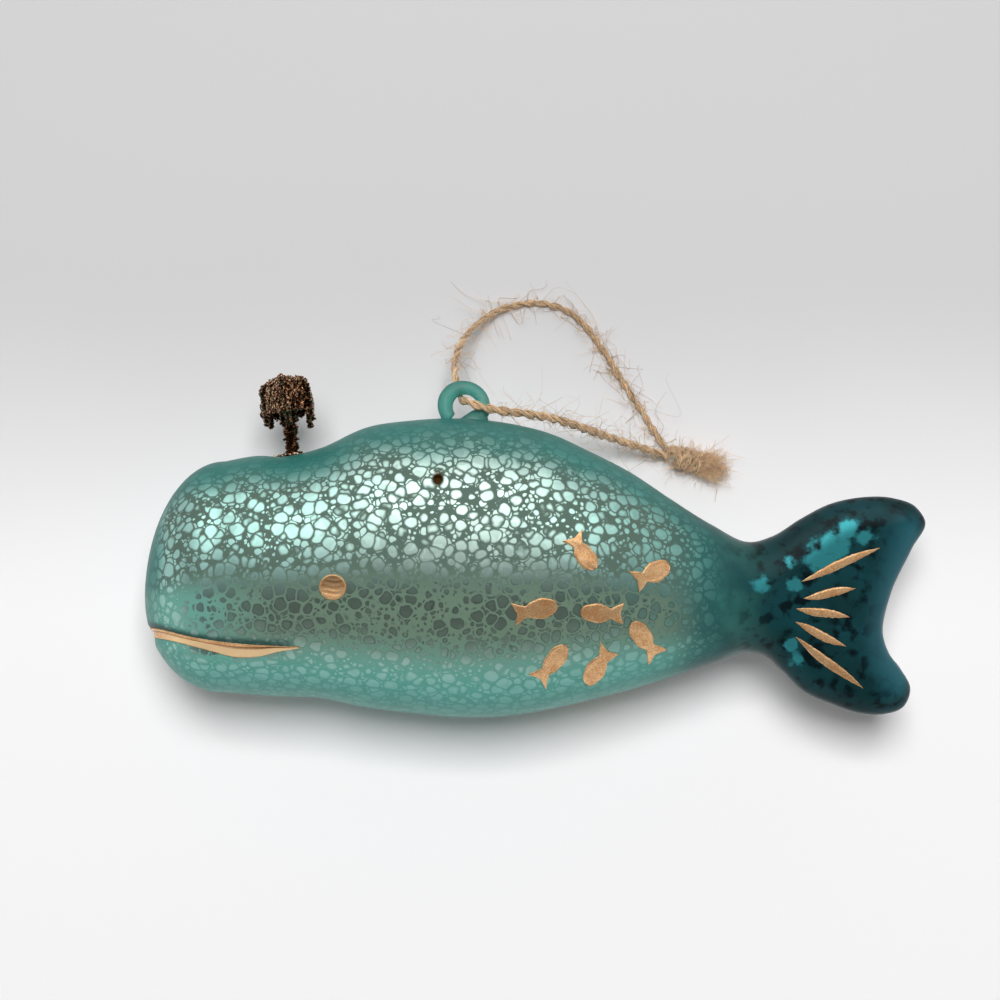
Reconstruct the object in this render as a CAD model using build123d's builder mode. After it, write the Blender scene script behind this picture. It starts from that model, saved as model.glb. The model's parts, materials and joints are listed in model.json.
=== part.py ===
"""Blown-glass whale ornament with a wire spout, gold marks and a twine hanger, in millimetres.

The whale lies on its right flank: +X runs from nose to tail, +Y from belly to back and +Z up
through the left flank. The origin is on the floor under the middle of the whale.
"""
import os
from math import cos, pi, radians, sin, sqrt, tan

from build123d import *

# Glass body
BODY_LENGTH = 139.5  # nose to the end of the tail stock
BODY_HEIGHT = 68.6  # belly to back
BODY_THICKNESS = 56.0  # flank to flank
NOSE_DEPTH = 18.0  # length of the rounded snout
WALL = 1.6  # glass thickness

# Shape of the body as shares: along the length, back line, belly line and half thickness
SNOUT_END = (NOSE_DEPTH / BODY_LENGTH, 0.856, 0.083, 0.790)
STATIONS = [
    SNOUT_END,
    (0.180, 0.874, 0.075, 0.850),
    (0.227, 0.873, 0.069, 0.890),
    (0.284, 0.898, 0.065, 0.925),
    (0.365, 0.971, 0.033, 0.955),
    (0.435, 0.993, 0.016, 0.982),
    (0.526, 1.000, 0.000, 0.999),
    (0.601, 0.983, 0.006, 0.998),
    (0.668, 0.949, 0.028, 0.966),
    (0.734, 0.888, 0.058, 0.897),
    (0.801, 0.818, 0.093, 0.788),
    (0.867, 0.729, 0.134, 0.652),
    (0.934, 0.644, 0.179, 0.512),
    (1.000, 0.585, 0.214, 0.385),
    (1.060, 0.490, 0.300, 0.180),
]
BLOWHOLE_STATION = 2  # the station that carries the blowhole
RING_STATION = 6  # the station that carries the hanging ring
NOSE_SHARE = 0.40  # height of the nose tip
WIDEST_SHARE = 0.46  # height of the widest line in each section
SNOUT_ANGLES = (15, 30, 45, 60, 75)  # sections of the rounded snout

# Tail fluke, a flat pillow whose outline is in shares of its length and span from its middle
FLUKE_LENGTH = 40.5
FLUKE_SPAN = 50.2
FLUKE_THICKNESS = 13.0
FLUKE_TAPER = 4.0  # degrees that each face leans towards the trailing edge
FLUKE_FACE_SHARE = 0.72  # size of the flat face against the outline
FLUKE_HEIGHT_SHARE = 0.374  # height of the fluke's middle line on the body
FLUKE_CENTRE_SHARE = 0.42  # where along the fluke its faces are centred
FLUKE_OUTLINE = [
    (-0.060, 0.200),
    (0.120, 0.307),
    (0.287, 0.398),
    (0.450, 0.465),
    (0.636, 0.498),
    (0.820, 0.494),
    (0.940, 0.458),
    (1.000, 0.385),
    (0.923, 0.262),
    (0.788, 0.035),
    (0.745, -0.130),
    (0.779, -0.222),
    (0.848, -0.287),
    (0.908, -0.380),
    (0.860, -0.465),
    (0.737, -0.500),
    (0.613, -0.496),
    (0.450, -0.454),
    (0.287, -0.394),
    (0.172, -0.304),
    (0.063, -0.222),
    (-0.060, -0.160),
]

# Blowhole cup, hole and vent
CUP_DIAMETER = 9.0
CUP_DEPTH = 2.2
BLOWHOLE_DIAMETER = 2.6
BLOWHOLE_OVERRUN = 6.4  # how far the hole is cut past the floor of the cup
VENT_DIAMETER = 2.2
VENT_SHARES = (0.486, 0.757)  # along the body length and up its height

# Wire spout
SPOUT_TILT = 8.0  # degrees towards the nose
STEM_OFFSET = 2.0  # from the cup's middle towards the tail
STEM_LENGTH = 8.2  # from the rim of the cup to the arms
CORE_DIAMETER = 1.6
CORE_TAIL = 3.0  # core past the glue bead, inside the shell
WIRE_DIAMETER = 1.1
WINDING_PITCH = 1.6
POINTS_PER_QUARTER = 8  # points on which the winding's gap is measured
ARM_DIAMETER = 1.6
ARM_COUNT = 6
ARM_RISES = (8.0, 6.8)  # tall and short arms take turns
ARM_REACHES = (5.4, 6.0)
ARM_DROPS = (9.5, 8.0)
GLUE_BEAD_DIAMETER = 5.2
GLUE_BEAD_HEIGHT = 1.8
PAD_SINK = 0.5  # top of the wire pad below the rim

# Hanging ring
RING_ROD = 3.0
RING_RADIUS = 4.35  # to the middle of the rod
RING_CENTRE_RISE = 3.1  # above the back
RING_START = -40.0  # degrees, at the foot
RING_SWEEP = 262.0
FOOT_LENGTH = 8.6
FOOT_RISE = 2.0
FOOT_WIDTH = 3.8
FOOT_ROOT = 2.0  # depth below the back, cut off by the body
FOOT_LEAD_SHARE = 0.3  # share of the foot in front of the ring's middle
FOOT_CREST_SHARE = 0.45  # where along the foot it is highest
FOOT_HEEL_SHARE = 0.2  # length of its steep rear end
FOOT_HEEL_RISE_SHARE = 0.75

# Gold marks
GILT = 0.3
MOUTH_DEPTH = 0.7
MOUTH_UPPER = [(-3.0, 20.6), (4.1, 19.6), (11.0, 17.8), (19.6, 16.4), (29.9, 15.6), (37.4, 15.5)]
MOUTH_LOWER = [
    (37.4, 15.3),
    (32.5, 14.4),
    (27.3, 13.3),
    (20.7, 13.1),
    (13.0, 14.9),
    (4.0, 17.2),
    (-3.0, 18.6),
]
MOUTH_LENGTH = 37.4
EYE_DIAMETER = 6.0
EYE_SHARES = (0.323, 0.410)
FISH_LENGTH = 7.0
FISH_WIDTH = 4.2
FISH_TAIL_LENGTH = 2.4
FISH_TAIL_WIDTH = 5.6
FISH_NECK_SHARE = 0.12  # half neck against the body width
FISH_NOTCH_SHARE = 0.6  # how far back the notch of the tail lies
FISH_PLACES = [
    (0.718, 0.516, -57),
    (0.828, 0.464, 27),
    (0.644, 0.340, 12),
    (0.741, 0.331, 179),
    (0.812, 0.255, 130),
    (0.669, 0.178, 51),
    (0.738, 0.159, -123),
]
STROKE_WIDTH = 2.1
STROKES = [
    (0.486, 0.178, 19.9, 23),
    (0.420, 0.046, 12.3, 11),
    (0.380, -0.043, 12.4, -9),
    (0.365, -0.141, 12.8, -25),
    (0.412, -0.268, 19.2, -37),
]

# Twine hanger
TWINE_DIAMETER = 2.0
KNOT_LENGTH = 8.5
KNOT_DIAMETER = 6.4
KNOT_END_DIAMETER = 5.4
KNOT_HEADING = -14.0
TAIL_LENGTH = 8.0
TAIL_START_DIAMETER = 2.2
TAIL_END_DIAMETER = 3.4
TAIL_SPREAD = 2.0
TAIL_APART_SHARE = 0.52  # offset of each frayed end against its diameter
BEND_SHARE = 0.45  # share of the shorter leg that a bend of the twine takes
WRAP_ANGLE = 108.0  # degrees round the ring where the twine passes through it
WRAP_RISE = 1.6  # where the twine leaves the ring, in reaches outwards
WRAP_FALL = 1.5  # and in reaches down
KNOT_START = (33.0, 24.2, 3.2)
TWINE_TO_RING = [
    (32.4, 23.9, 3.2),
    (23.1, 26.3, 7.0),
    (14.0, 28.3, 14.5),
    (7.0, 29.8, 21.5),
    (0.0, 30.6, 26.8),
    (-7.0, 30.9, 30.2),
    (-13.4, 31.9, 31.4),
]
TWINE_TO_KNOT = [
    (-19.0, 47.0, 16.5),
    (-15.8, 54.8, 7.0),
    (-9.0, 60.8, 2.0),
    (0.5, 63.0, 1.1),
    (9.5, 60.5, 1.05),
    (16.2, 52.2, 1.15),
    (22.0, 42.4, 1.05),
    (27.6, 33.4, 1.3),
    (31.4, 26.9, 2.6),
    (33.4, 24.6, 3.3),
]

# Fits
SEAT_GAP = 0.03  # gold on glass, glue in its hole
WIRE_GAP = 0.06  # wire on wire, pad in its cup
TWINE_GAP = 0.35  # twine round the ring

# Places that follow from the sizes
MID_Z = BODY_THICKNESS / 2
MID_PLANE = Plane.XY.offset(MID_Z)
ARM_BENDS = [(reach - CORE_DIAMETER / 2 - ARM_DIAMETER / 2) / 2 for reach in ARM_REACHES]
SPOUT_HEIGHT = STEM_LENGTH + ARM_RISES[0] + ARM_BENDS[0] + ARM_DIAMETER / 2
BLOWHOLE_TOP = STATIONS[BLOWHOLE_STATION][1] * BODY_HEIGHT
TOTAL_LENGTH = BODY_LENGTH + FLUKE_LENGTH
TOTAL_HEIGHT = BLOWHOLE_TOP + SPOUT_HEIGHT * cos(radians(SPOUT_TILT))
NOSE_X = -TOTAL_LENGTH / 2
BELLY_Y = -TOTAL_HEIGHT / 2


def along(share):
    """X at a share of the body length behind the nose."""
    return NOSE_X + share * BODY_LENGTH


def up(share):
    """Y at a share of the body height above the belly."""
    return BELLY_Y + share * BODY_HEIGHT


def body_section(x, back, belly, half):
    """Egg-shaped slice of the body: four quarter ellipses about its widest line."""
    widest = belly + WIDEST_SHARE * (back - belly)
    centre = (widest, MID_Z)
    with BuildSketch(Plane.YZ.offset(x)) as section:
        with BuildLine():
            EllipticalCenterArc(centre, back - widest, half, 0, arc_size=90)
            EllipticalCenterArc(centre, widest - belly, half, 90, arc_size=90)
            EllipticalCenterArc(centre, widest - belly, half, 180, arc_size=90)
            EllipticalCenterArc(centre, back - widest, half, 270, arc_size=90)
        make_face()
    return section.sketch


def body_sections(grow):
    """Slices from the nose point to the tail stock, all grown outwards by one distance."""
    tip = up(NOSE_SHARE)
    snout_share, snout_back, snout_belly, snout_half = SNOUT_END
    snout_end = along(snout_share)
    depth = snout_end - NOSE_X + grow
    back_rise = up(snout_back) - tip + grow
    belly_fall = tip - up(snout_belly) + grow
    half = snout_half * BODY_THICKNESS / 2 + grow
    sections = [Vertex(NOSE_X - grow, tip, MID_Z)]
    for angle in SNOUT_ANGLES:
        rise = sin(radians(angle))
        x = snout_end - depth * cos(radians(angle))
        sections.append(body_section(x, tip + back_rise * rise, tip - belly_fall * rise, half * rise))
    for share, back, belly, half_share in STATIONS:
        thick = half_share * BODY_THICKNESS / 2 + grow
        sections.append(body_section(along(share), up(back) + grow, up(belly) - grow, thick))
    return sections


def fluke_section(plane, size):
    """Outline of the fluke on a plane through its middle, scaled about that middle."""
    points = [
        ((x - FLUKE_CENTRE_SHARE) * FLUKE_LENGTH * size, y * FLUKE_SPAN * size)
        for x, y in FLUKE_OUTLINE
    ]
    with BuildSketch(plane) as section:
        with BuildLine():
            Spline(*points)
            Line(points[-1], points[0])
        make_face()
    return section.sketch


def fluke_sections(grow):
    """Lower face, outline and upper face of the fluke, grown outwards by one distance."""
    x = along(1) + FLUKE_CENTRE_SHARE * FLUKE_LENGTH
    y = up(FLUKE_HEIGHT_SHARE)
    half = FLUKE_THICKNESS / 2 + grow
    lean = sin(radians(FLUKE_TAPER))
    size = 1 + 2 * grow / FLUKE_SPAN
    upper = Plane((x, y, MID_Z + half), x_dir=(1, 0, -lean), z_dir=(lean, 0, 1))
    middle = Plane((x, y, MID_Z))
    lower = Plane((x, y, MID_Z - half), x_dir=(1, 0, lean), z_dir=(-lean, 0, 1))
    face_size = size * FLUKE_FACE_SHARE
    return [fluke_section(lower, face_size), fluke_section(middle, size), fluke_section(upper, face_size)]


def body_solid(grow):
    """Solid body without its fluke, grown outwards from the glass surface."""
    with BuildPart() as body:
        loft(body_sections(grow))
    return body.part


def fluke_solid(grow):
    """Solid fluke, grown outwards from the glass surface."""
    with BuildPart() as fluke:
        loft(fluke_sections(grow))
    return fluke.part


def whale_solid(grow):
    """Solid whale, body and fluke in one, grown outwards from the glass surface."""
    with BuildPart() as whale:
        add(body_solid(grow))
        add(fluke_solid(grow))
    return whale.part


outer_whale = whale_solid(0)
inner_whale = whale_solid(-WALL)

# Axes of the spout: the cup's middle on the back and the stem beside it
tilt = radians(SPOUT_TILT)
spout_axis = Vector(-sin(tilt), cos(tilt), 0)
spout_side = Vector(cos(tilt), sin(tilt), 0)
cup_point = Vector(along(STATIONS[BLOWHOLE_STATION][0]), up(STATIONS[BLOWHOLE_STATION][1]), MID_Z)
cup_plane = Plane(cup_point, x_dir=spout_side, z_dir=spout_axis)
stem_plane = Plane(cup_point + spout_side * STEM_OFFSET, x_dir=spout_side, z_dir=spout_axis)
cup_radius = (CUP_DIAMETER**2 / 4 + CUP_DEPTH**2) / (2 * CUP_DEPTH)
cup_centre = cup_point + spout_axis * (cup_radius - CUP_DEPTH)
cup_centre_plane = Plane(cup_centre, x_dir=spout_side, z_dir=spout_axis)


def ball(radius):
    """Solid ball about the middle of the blowhole cup."""
    with BuildPart(cup_centre_plane) as solid:
        Sphere(radius)
    return solid.part


def mouth_prism(margin):
    """Upright prism of the mouth line, drawn in from its edges by a margin."""
    upper = [(NOSE_X + x * MOUTH_LENGTH / MOUTH_UPPER[-1][0], BELLY_Y + y - margin) for x, y in MOUTH_UPPER]
    lower = [(NOSE_X + x * MOUTH_LENGTH / MOUTH_UPPER[-1][0], BELLY_Y + y + margin) for x, y in MOUTH_LOWER]
    with BuildPart() as prism:
        with BuildSketch(MID_PLANE):
            with BuildLine():
                Spline(*upper)
                Line(upper[-1], lower[0])
                Spline(*lower)
                Line(lower[-1], upper[0])
            make_face()
        extrude(amount=BODY_THICKNESS, both=True)
    return prism.part


# Mouth groove, cut out of the glass to its floor
with BuildPart() as mouth_cut:
    add(mouth_prism(0))
    add(body_solid(-MOUTH_DEPTH), mode=Mode.SUBTRACT)

# Cavity, which keeps the wall under the blowhole cup
with BuildPart() as cavity:
    add(inner_whale)
    add(ball(cup_radius + WALL), mode=Mode.SUBTRACT)

with BuildPart() as glass_body:
    add(outer_whale)
    add(cavity.part, mode=Mode.SUBTRACT)
    add(ball(cup_radius), mode=Mode.SUBTRACT)
    add(mouth_cut.part, mode=Mode.SUBTRACT)
    with BuildSketch(stem_plane):
        Circle(BLOWHOLE_DIAMETER / 2)
    extrude(amount=-(CUP_DEPTH + BLOWHOLE_OVERRUN), mode=Mode.SUBTRACT)
    with BuildSketch(Plane((along(VENT_SHARES[0]), up(VENT_SHARES[1]), MID_Z))):
        Circle(VENT_DIAMETER / 2)
    extrude(amount=BODY_THICKNESS, mode=Mode.SUBTRACT)

# Hanging ring: a curled rod with a wedge-shaped foot, trimmed to the back
ring_x = along(STATIONS[RING_STATION][0])
back_y = up(STATIONS[RING_STATION][1])
ring_centre = Vector(ring_x, back_y + RING_CENTRE_RISE, MID_Z)
ring_plane = Plane(ring_centre)
rod_start = Vector(cos(radians(RING_START)), sin(radians(RING_START)), 0)
rod_heading = Vector(-sin(radians(RING_START)), cos(radians(RING_START)), 0)
foot_start = ring_centre.X - FOOT_LENGTH * FOOT_LEAD_SHARE
foot_end = foot_start + FOOT_LENGTH
with BuildPart() as hanging_ring:
    with BuildLine(ring_plane):
        CenterArc((0, 0), RING_RADIUS, RING_START, arc_size=RING_SWEEP / 2)
        CenterArc((0, 0), RING_RADIUS, RING_START + RING_SWEEP / 2, arc_size=RING_SWEEP / 2)
    with BuildSketch(Plane(ring_centre + rod_start * RING_RADIUS, z_dir=rod_heading)):
        Circle(RING_ROD / 2)
    sweep()
    with BuildSketch(MID_PLANE):
        with BuildLine():
            Polyline(
                (foot_start, back_y),
                (foot_start + FOOT_LENGTH * FOOT_CREST_SHARE, back_y + FOOT_RISE),
                (foot_end - FOOT_LENGTH * FOOT_HEEL_SHARE, back_y + FOOT_RISE * FOOT_HEEL_RISE_SHARE),
                (foot_end, back_y),
                (foot_end, back_y - FOOT_ROOT),
                (foot_start, back_y - FOOT_ROOT),
                close=True,
            )
        make_face()
    extrude(amount=FOOT_WIDTH / 2, both=True)
    add(outer_whale, mode=Mode.SUBTRACT)

# Wire pad: a lens that fills the cup round the stem
with BuildPart() as spout_pad:
    with BuildSketch(cup_plane.offset(-PAD_SINK)):
        Circle(CUP_DIAMETER / 2)
    extrude(amount=-CUP_DEPTH)
    add(ball(cup_radius - WIRE_GAP), mode=Mode.INTERSECT)
    with BuildSketch(stem_plane):
        Circle(CORE_DIAMETER / 2 + WIRE_GAP)
    extrude(amount=-2 * CUP_DEPTH, mode=Mode.SUBTRACT)

# Glue bead: a neck in the hole and a button under the cup
cup_floor = sqrt(cup_radius**2 - STEM_OFFSET**2) - (cup_radius - CUP_DEPTH)
under_floor = sqrt((cup_radius + WALL) ** 2 - STEM_OFFSET**2) - (cup_radius - CUP_DEPTH)
with BuildPart() as spout_glue:
    with BuildSketch(stem_plane.offset(-under_floor - GLUE_BEAD_HEIGHT)):
        Circle(GLUE_BEAD_DIAMETER / 2)
    extrude(amount=2 * GLUE_BEAD_HEIGHT)
    add(ball(cup_radius + WALL + SEAT_GAP), mode=Mode.SUBTRACT)
    with BuildSketch(stem_plane.offset(-under_floor - GLUE_BEAD_HEIGHT)):
        Circle(BLOWHOLE_DIAMETER / 2 - SEAT_GAP)
    extrude(amount=GLUE_BEAD_HEIGHT + under_floor - cup_floor - WIRE_DIAMETER / 2)
    with BuildSketch(stem_plane):
        Circle(CORE_DIAMETER / 2 + SEAT_GAP)
    extrude(amount=-(under_floor + 2 * GLUE_BEAD_HEIGHT), mode=Mode.SUBTRACT)

# Core of the stem, from inside the shell up into the arms
core_bottom = under_floor + GLUE_BEAD_HEIGHT + CORE_TAIL
with BuildPart() as spout_core:
    with BuildSketch(stem_plane.offset(-core_bottom)):
        Circle(CORE_DIAMETER / 2)
    extrude(amount=core_bottom + STEM_LENGTH + ARM_RISES[1] / 2)


def biarc(start, start_heading, end, end_heading):
    """Point and heading where two arcs of equal tangent length join two headings."""
    span = end - start
    headings = start_heading + end_heading
    a = headings.dot(headings) - 4
    b = -2 * span.dot(headings)
    c = span.dot(span)
    reach = 2 * c / (-b + sqrt(b * b - 4 * a * c))
    first = start + start_heading * reach
    second = end - end_heading * reach
    return (first + second) * 0.5, (second - first).normalized()


# Winding: one wire that climbs round the core in quarter turns of two arcs each
winding_radius = CORE_DIAMETER / 2 + WIRE_DIAMETER / 2 + WIRE_GAP
winding_bottom = -PAD_SINK + WIRE_DIAMETER / 2 + WIRE_GAP
winding_top = STEM_LENGTH - WIRE_DIAMETER / 2 - WIRE_GAP
winding_turns = (winding_top - winding_bottom) / WINDING_PITCH
winding_quarters = round(4 * winding_turns)


def winding_point(quarter):
    """Point and heading on the winding after a number of quarter turns."""
    angle = quarter * pi / 2
    height = winding_bottom + (winding_top - winding_bottom) * quarter / winding_quarters
    climb = (winding_top - winding_bottom) / winding_quarters / (pi / 2)
    across = spout_axis.cross(spout_side)
    outwards = spout_side * cos(angle) + across * sin(angle)
    sideways = across * cos(angle) - spout_side * sin(angle)
    point = stem_plane.origin + outwards * winding_radius + spout_axis * height
    return point, (sideways * winding_radius + spout_axis * climb).normalized()


def least_gap(points, diameter, skip):
    """Least gap of a tube to itself, measured between points at least skip steps apart."""
    return min(
        (near - far).length
        for index, near in enumerate(points)
        for far in points[index + skip :]
    ) - diameter


with BuildPart() as spout_winding:
    with BuildLine():
        for quarter in range(winding_quarters):
            start, start_heading = winding_point(quarter)
            end, end_heading = winding_point(quarter + 1)
            joint, joint_heading = biarc(start, start_heading, end, end_heading)
            TangentArc(start, joint, tangent=start_heading)
            TangentArc(joint, end, tangent=joint_heading)
    wire_start, wire_heading = winding_point(0)
    with BuildSketch(Plane(wire_start, z_dir=wire_heading)):
        Circle(WIRE_DIAMETER / 2)
    sweep()

# Arms: each rises beside the core, bends over and falls
arm_ring = CORE_DIAMETER / 2 + ARM_DIAMETER / 2 + WIRE_GAP
spout_arms = []
for number in range(ARM_COUNT):
    kind = number % 2
    rise, reach, drop = ARM_RISES[kind], ARM_REACHES[kind], ARM_DROPS[kind]
    bend = (reach - arm_ring) / 2
    turn = 2 * pi * (number + 0.5) / ARM_COUNT
    outwards = spout_side * cos(turn) + spout_axis.cross(spout_side) * sin(turn)
    arm_base = stem_plane.origin + spout_axis * STEM_LENGTH
    arm_plane = Plane(arm_base, x_dir=outwards, z_dir=outwards.cross(spout_axis))
    with BuildPart() as spout_arm:
        with BuildLine(arm_plane):
            Line((arm_ring, 0), (arm_ring, rise))
            JernArc((arm_ring, rise), (0, 1), bend, -90)
            JernArc((arm_ring + bend, rise + bend), (1, 0), bend, -90)
            Line((reach, rise), (reach, rise - drop))
        with BuildSketch(Plane(arm_base + outwards * arm_ring, z_dir=spout_axis)):
            Circle(ARM_DIAMETER / 2)
        sweep()
    spout_arms.append(spout_arm.part)


def fish_outline():
    """Small fish along +X: two arcs for the body and a notched tail."""
    nose = FISH_LENGTH / 2
    joint = -FISH_LENGTH / 2
    neck = FISH_WIDTH * FISH_NECK_SHARE
    with BuildSketch() as fish:
        with BuildLine():
            ThreePointArc((joint, neck), (0, FISH_WIDTH / 2), (nose, 0))
            ThreePointArc((nose, 0), (0, -FISH_WIDTH / 2), (joint, -neck))
            Polyline(
                (joint, -neck),
                (joint - FISH_TAIL_LENGTH, -FISH_TAIL_WIDTH / 2),
                (joint - FISH_TAIL_LENGTH * FISH_NOTCH_SHARE, 0),
                (joint - FISH_TAIL_LENGTH, FISH_TAIL_WIDTH / 2),
                (joint, neck),
            )
        make_face()
    return fish.sketch


def stroke_outline(length):
    """Brush stroke along X that tapers to both ends."""
    with BuildSketch() as stroke:
        with BuildLine():
            ThreePointArc((-length / 2, 0), (0, STROKE_WIDTH / 2), (length / 2, 0))
            ThreePointArc((length / 2, 0), (0, -STROKE_WIDTH / 2), (-length / 2, 0))
        make_face()
    return stroke.sketch


def gilt_film(sketches, seat, top):
    """Gold on the left flank under the sketches, from its seat on the glass to its top."""
    with BuildPart() as film:
        with BuildSketch(MID_PLANE):
            for sketch in sketches:
                add(sketch)
        extrude(amount=BODY_THICKNESS)
        add(top, mode=Mode.INTERSECT)
        add(seat, mode=Mode.SUBTRACT)
    return film.part


def other_flank(film):
    """The same gold on the right flank."""
    with BuildPart() as mirrored:
        mirror(film, about=MID_PLANE)
    return mirrored.part


with BuildSketch() as eye_outline:
    with Locations((along(EYE_SHARES[0]), up(EYE_SHARES[1]))):
        Circle(EYE_DIAMETER / 2)
eye_marks = [eye_outline.sketch]
fish_marks = [
    Pos(along(x), up(y)) * Rot(Z=heading) * fish_outline() for x, y, heading in FISH_PLACES
]
fluke_y = up(FLUKE_HEIGHT_SHARE)
tail_marks = [
    Pos(along(1) + x * FLUKE_LENGTH, fluke_y + y * FLUKE_SPAN) * Rot(Z=heading) * stroke_outline(length)
    for x, y, length, heading in STROKES
]
body_seat, body_top = body_solid(SEAT_GAP), body_solid(SEAT_GAP + GILT)
fluke_seat, fluke_top = fluke_solid(SEAT_GAP), fluke_solid(SEAT_GAP + GILT)
gilt_eye = gilt_film(eye_marks, body_seat, body_top)
gilt_fish = gilt_film(fish_marks, body_seat, body_top)
gilt_tail = gilt_film(tail_marks, fluke_seat, fluke_top)
with BuildPart() as gilt_mouth:
    add(mouth_prism(SEAT_GAP))
    add(body_solid(-MOUTH_DEPTH + SEAT_GAP + GILT), mode=Mode.INTERSECT)
    add(body_solid(-MOUTH_DEPTH + SEAT_GAP), mode=Mode.SUBTRACT)

# Twine route: from the knot up over the ring, down through it, under its rod and round the loop
bar_reach = RING_ROD / 2 + TWINE_DIAMETER / 2 + TWINE_GAP
wrap_out = Vector(cos(radians(WRAP_ANGLE)), sin(radians(WRAP_ANGLE)), 0)
wrap_up = Vector(0, 0, bar_reach)
bar_centre = ring_centre + wrap_out * RING_RADIUS
ring_points = [
    bar_centre - wrap_out * bar_reach + wrap_up,
    bar_centre - wrap_out * bar_reach - wrap_up,
    bar_centre + wrap_out * WRAP_RISE * bar_reach - wrap_up * WRAP_FALL,
]
twine_points = [Vector(point) for point in TWINE_TO_RING + ring_points + TWINE_TO_KNOT]
twine_radii = []
for before, corner, after in zip(twine_points, twine_points[1:], twine_points[2:]):
    turn = radians((corner - before).get_angle(after - corner))
    shorter = min((corner - before).length, (after - corner).length)
    twine_radii.append(BEND_SHARE * shorter / tan(turn / 2))
with BuildPart() as twine_loop:
    with BuildLine() as twine_line:
        FilletPolyline(*twine_points, radius=twine_radii)
    with BuildSketch(Plane(twine_points[0], z_dir=twine_points[1] - twine_points[0])):
        Circle(TWINE_DIAMETER / 2)
    sweep()

# Knot: a barrel along its own heading, with the two frayed ends on its far face
heading = radians(KNOT_HEADING)
knot_axis = Vector(cos(heading), sin(heading), 0)
knot_side = Vector(-sin(heading), cos(heading), 0)
knot_plane = Plane(Vector(KNOT_START), x_dir=knot_axis, z_dir=(0, 0, 1))
with BuildPart() as twine_knot:
    with BuildSketch(knot_plane):
        with BuildLine():
            ThreePointArc(
                (0, KNOT_END_DIAMETER / 2),
                (KNOT_LENGTH / 2, KNOT_DIAMETER / 2),
                (KNOT_LENGTH, KNOT_END_DIAMETER / 2),
            )
            Polyline(
                (KNOT_LENGTH, KNOT_END_DIAMETER / 2),
                (KNOT_LENGTH, 0),
                (0, 0),
                (0, KNOT_END_DIAMETER / 2),
            )
        make_face()
    revolve(axis=Axis(KNOT_START, knot_axis))

twine_tails = []
for side in (1, -1):
    tail_offset = side * TAIL_START_DIAMETER * TAIL_APART_SHARE
    tail_start = Vector(KNOT_START) + knot_axis * KNOT_LENGTH + knot_side * tail_offset
    tail_end = tail_start + knot_axis * TAIL_LENGTH + knot_side * side * TAIL_SPREAD
    tail_end = Vector(tail_end.X, tail_end.Y, TAIL_END_DIAMETER / 2 + TWINE_GAP)
    with BuildPart() as twine_tail:
        with BuildSketch(Plane(tail_start, z_dir=knot_axis)):
            Circle(TAIL_START_DIAMETER / 2)
        with BuildSketch(Plane(tail_end, z_dir=knot_axis)):
            Circle(TAIL_END_DIAMETER / 2)
        loft()
    twine_tails.append(twine_tail.part)

# Pieces by name, each written to its own file
pieces = {
    "glass_body": glass_body.part,
    "hanging_ring": hanging_ring.part,
    "spout_pad": spout_pad.part,
    "spout_glue": spout_glue.part,
    "spout_core": spout_core.part,
    "spout_winding": spout_winding.part,
    "gilt_mouth": gilt_mouth.part,
    "gilt_eye_left": gilt_eye,
    "gilt_eye_right": other_flank(gilt_eye),
    "gilt_fish_left": gilt_fish,
    "gilt_fish_right": other_flank(gilt_fish),
    "gilt_tail_left": gilt_tail,
    "gilt_tail_right": other_flank(gilt_tail),
    "twine_loop": twine_loop.part,
    "twine_knot": twine_knot.part,
    "twine_tail_a": twine_tails[0],
    "twine_tail_b": twine_tails[1],
}
for number, arm in enumerate(spout_arms, start=1):
    pieces[f"spout_arm_{number}"] = arm

os.makedirs("parts", exist_ok=True)
for name, piece in pieces.items():
    piece.label = name
    export_step(piece, f"parts/{name}.step")

twine_length = twine_line.wire().length
print("twine length", round(twine_length, 1), "radii", [round(r, 1) for r in twine_radii])
print("twine volume", round(twine_loop.part.volume, 1), "section by length",
      round(pi * TWINE_DIAMETER**2 / 4 * twine_length, 1))
winding_points = [
    winding_point(step / POINTS_PER_QUARTER)[0]
    for step in range(POINTS_PER_QUARTER * winding_quarters + 1)
]
half_turn = 2 * POINTS_PER_QUARTER
print("least gap of the winding", round(least_gap(winding_points, WIRE_DIAMETER, half_turn), 2))
print("ring centre", ring_centre)
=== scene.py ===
"""Looks of a blown-glass whale ornament, laid out as an add-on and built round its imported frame.

Shapes are worked out in millimetres, in the frame of the part: +X from nose to tail, +Y from belly
to back, +Z up through the left flank. put_piece turns them into metres.
"""
import json
import math

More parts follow.
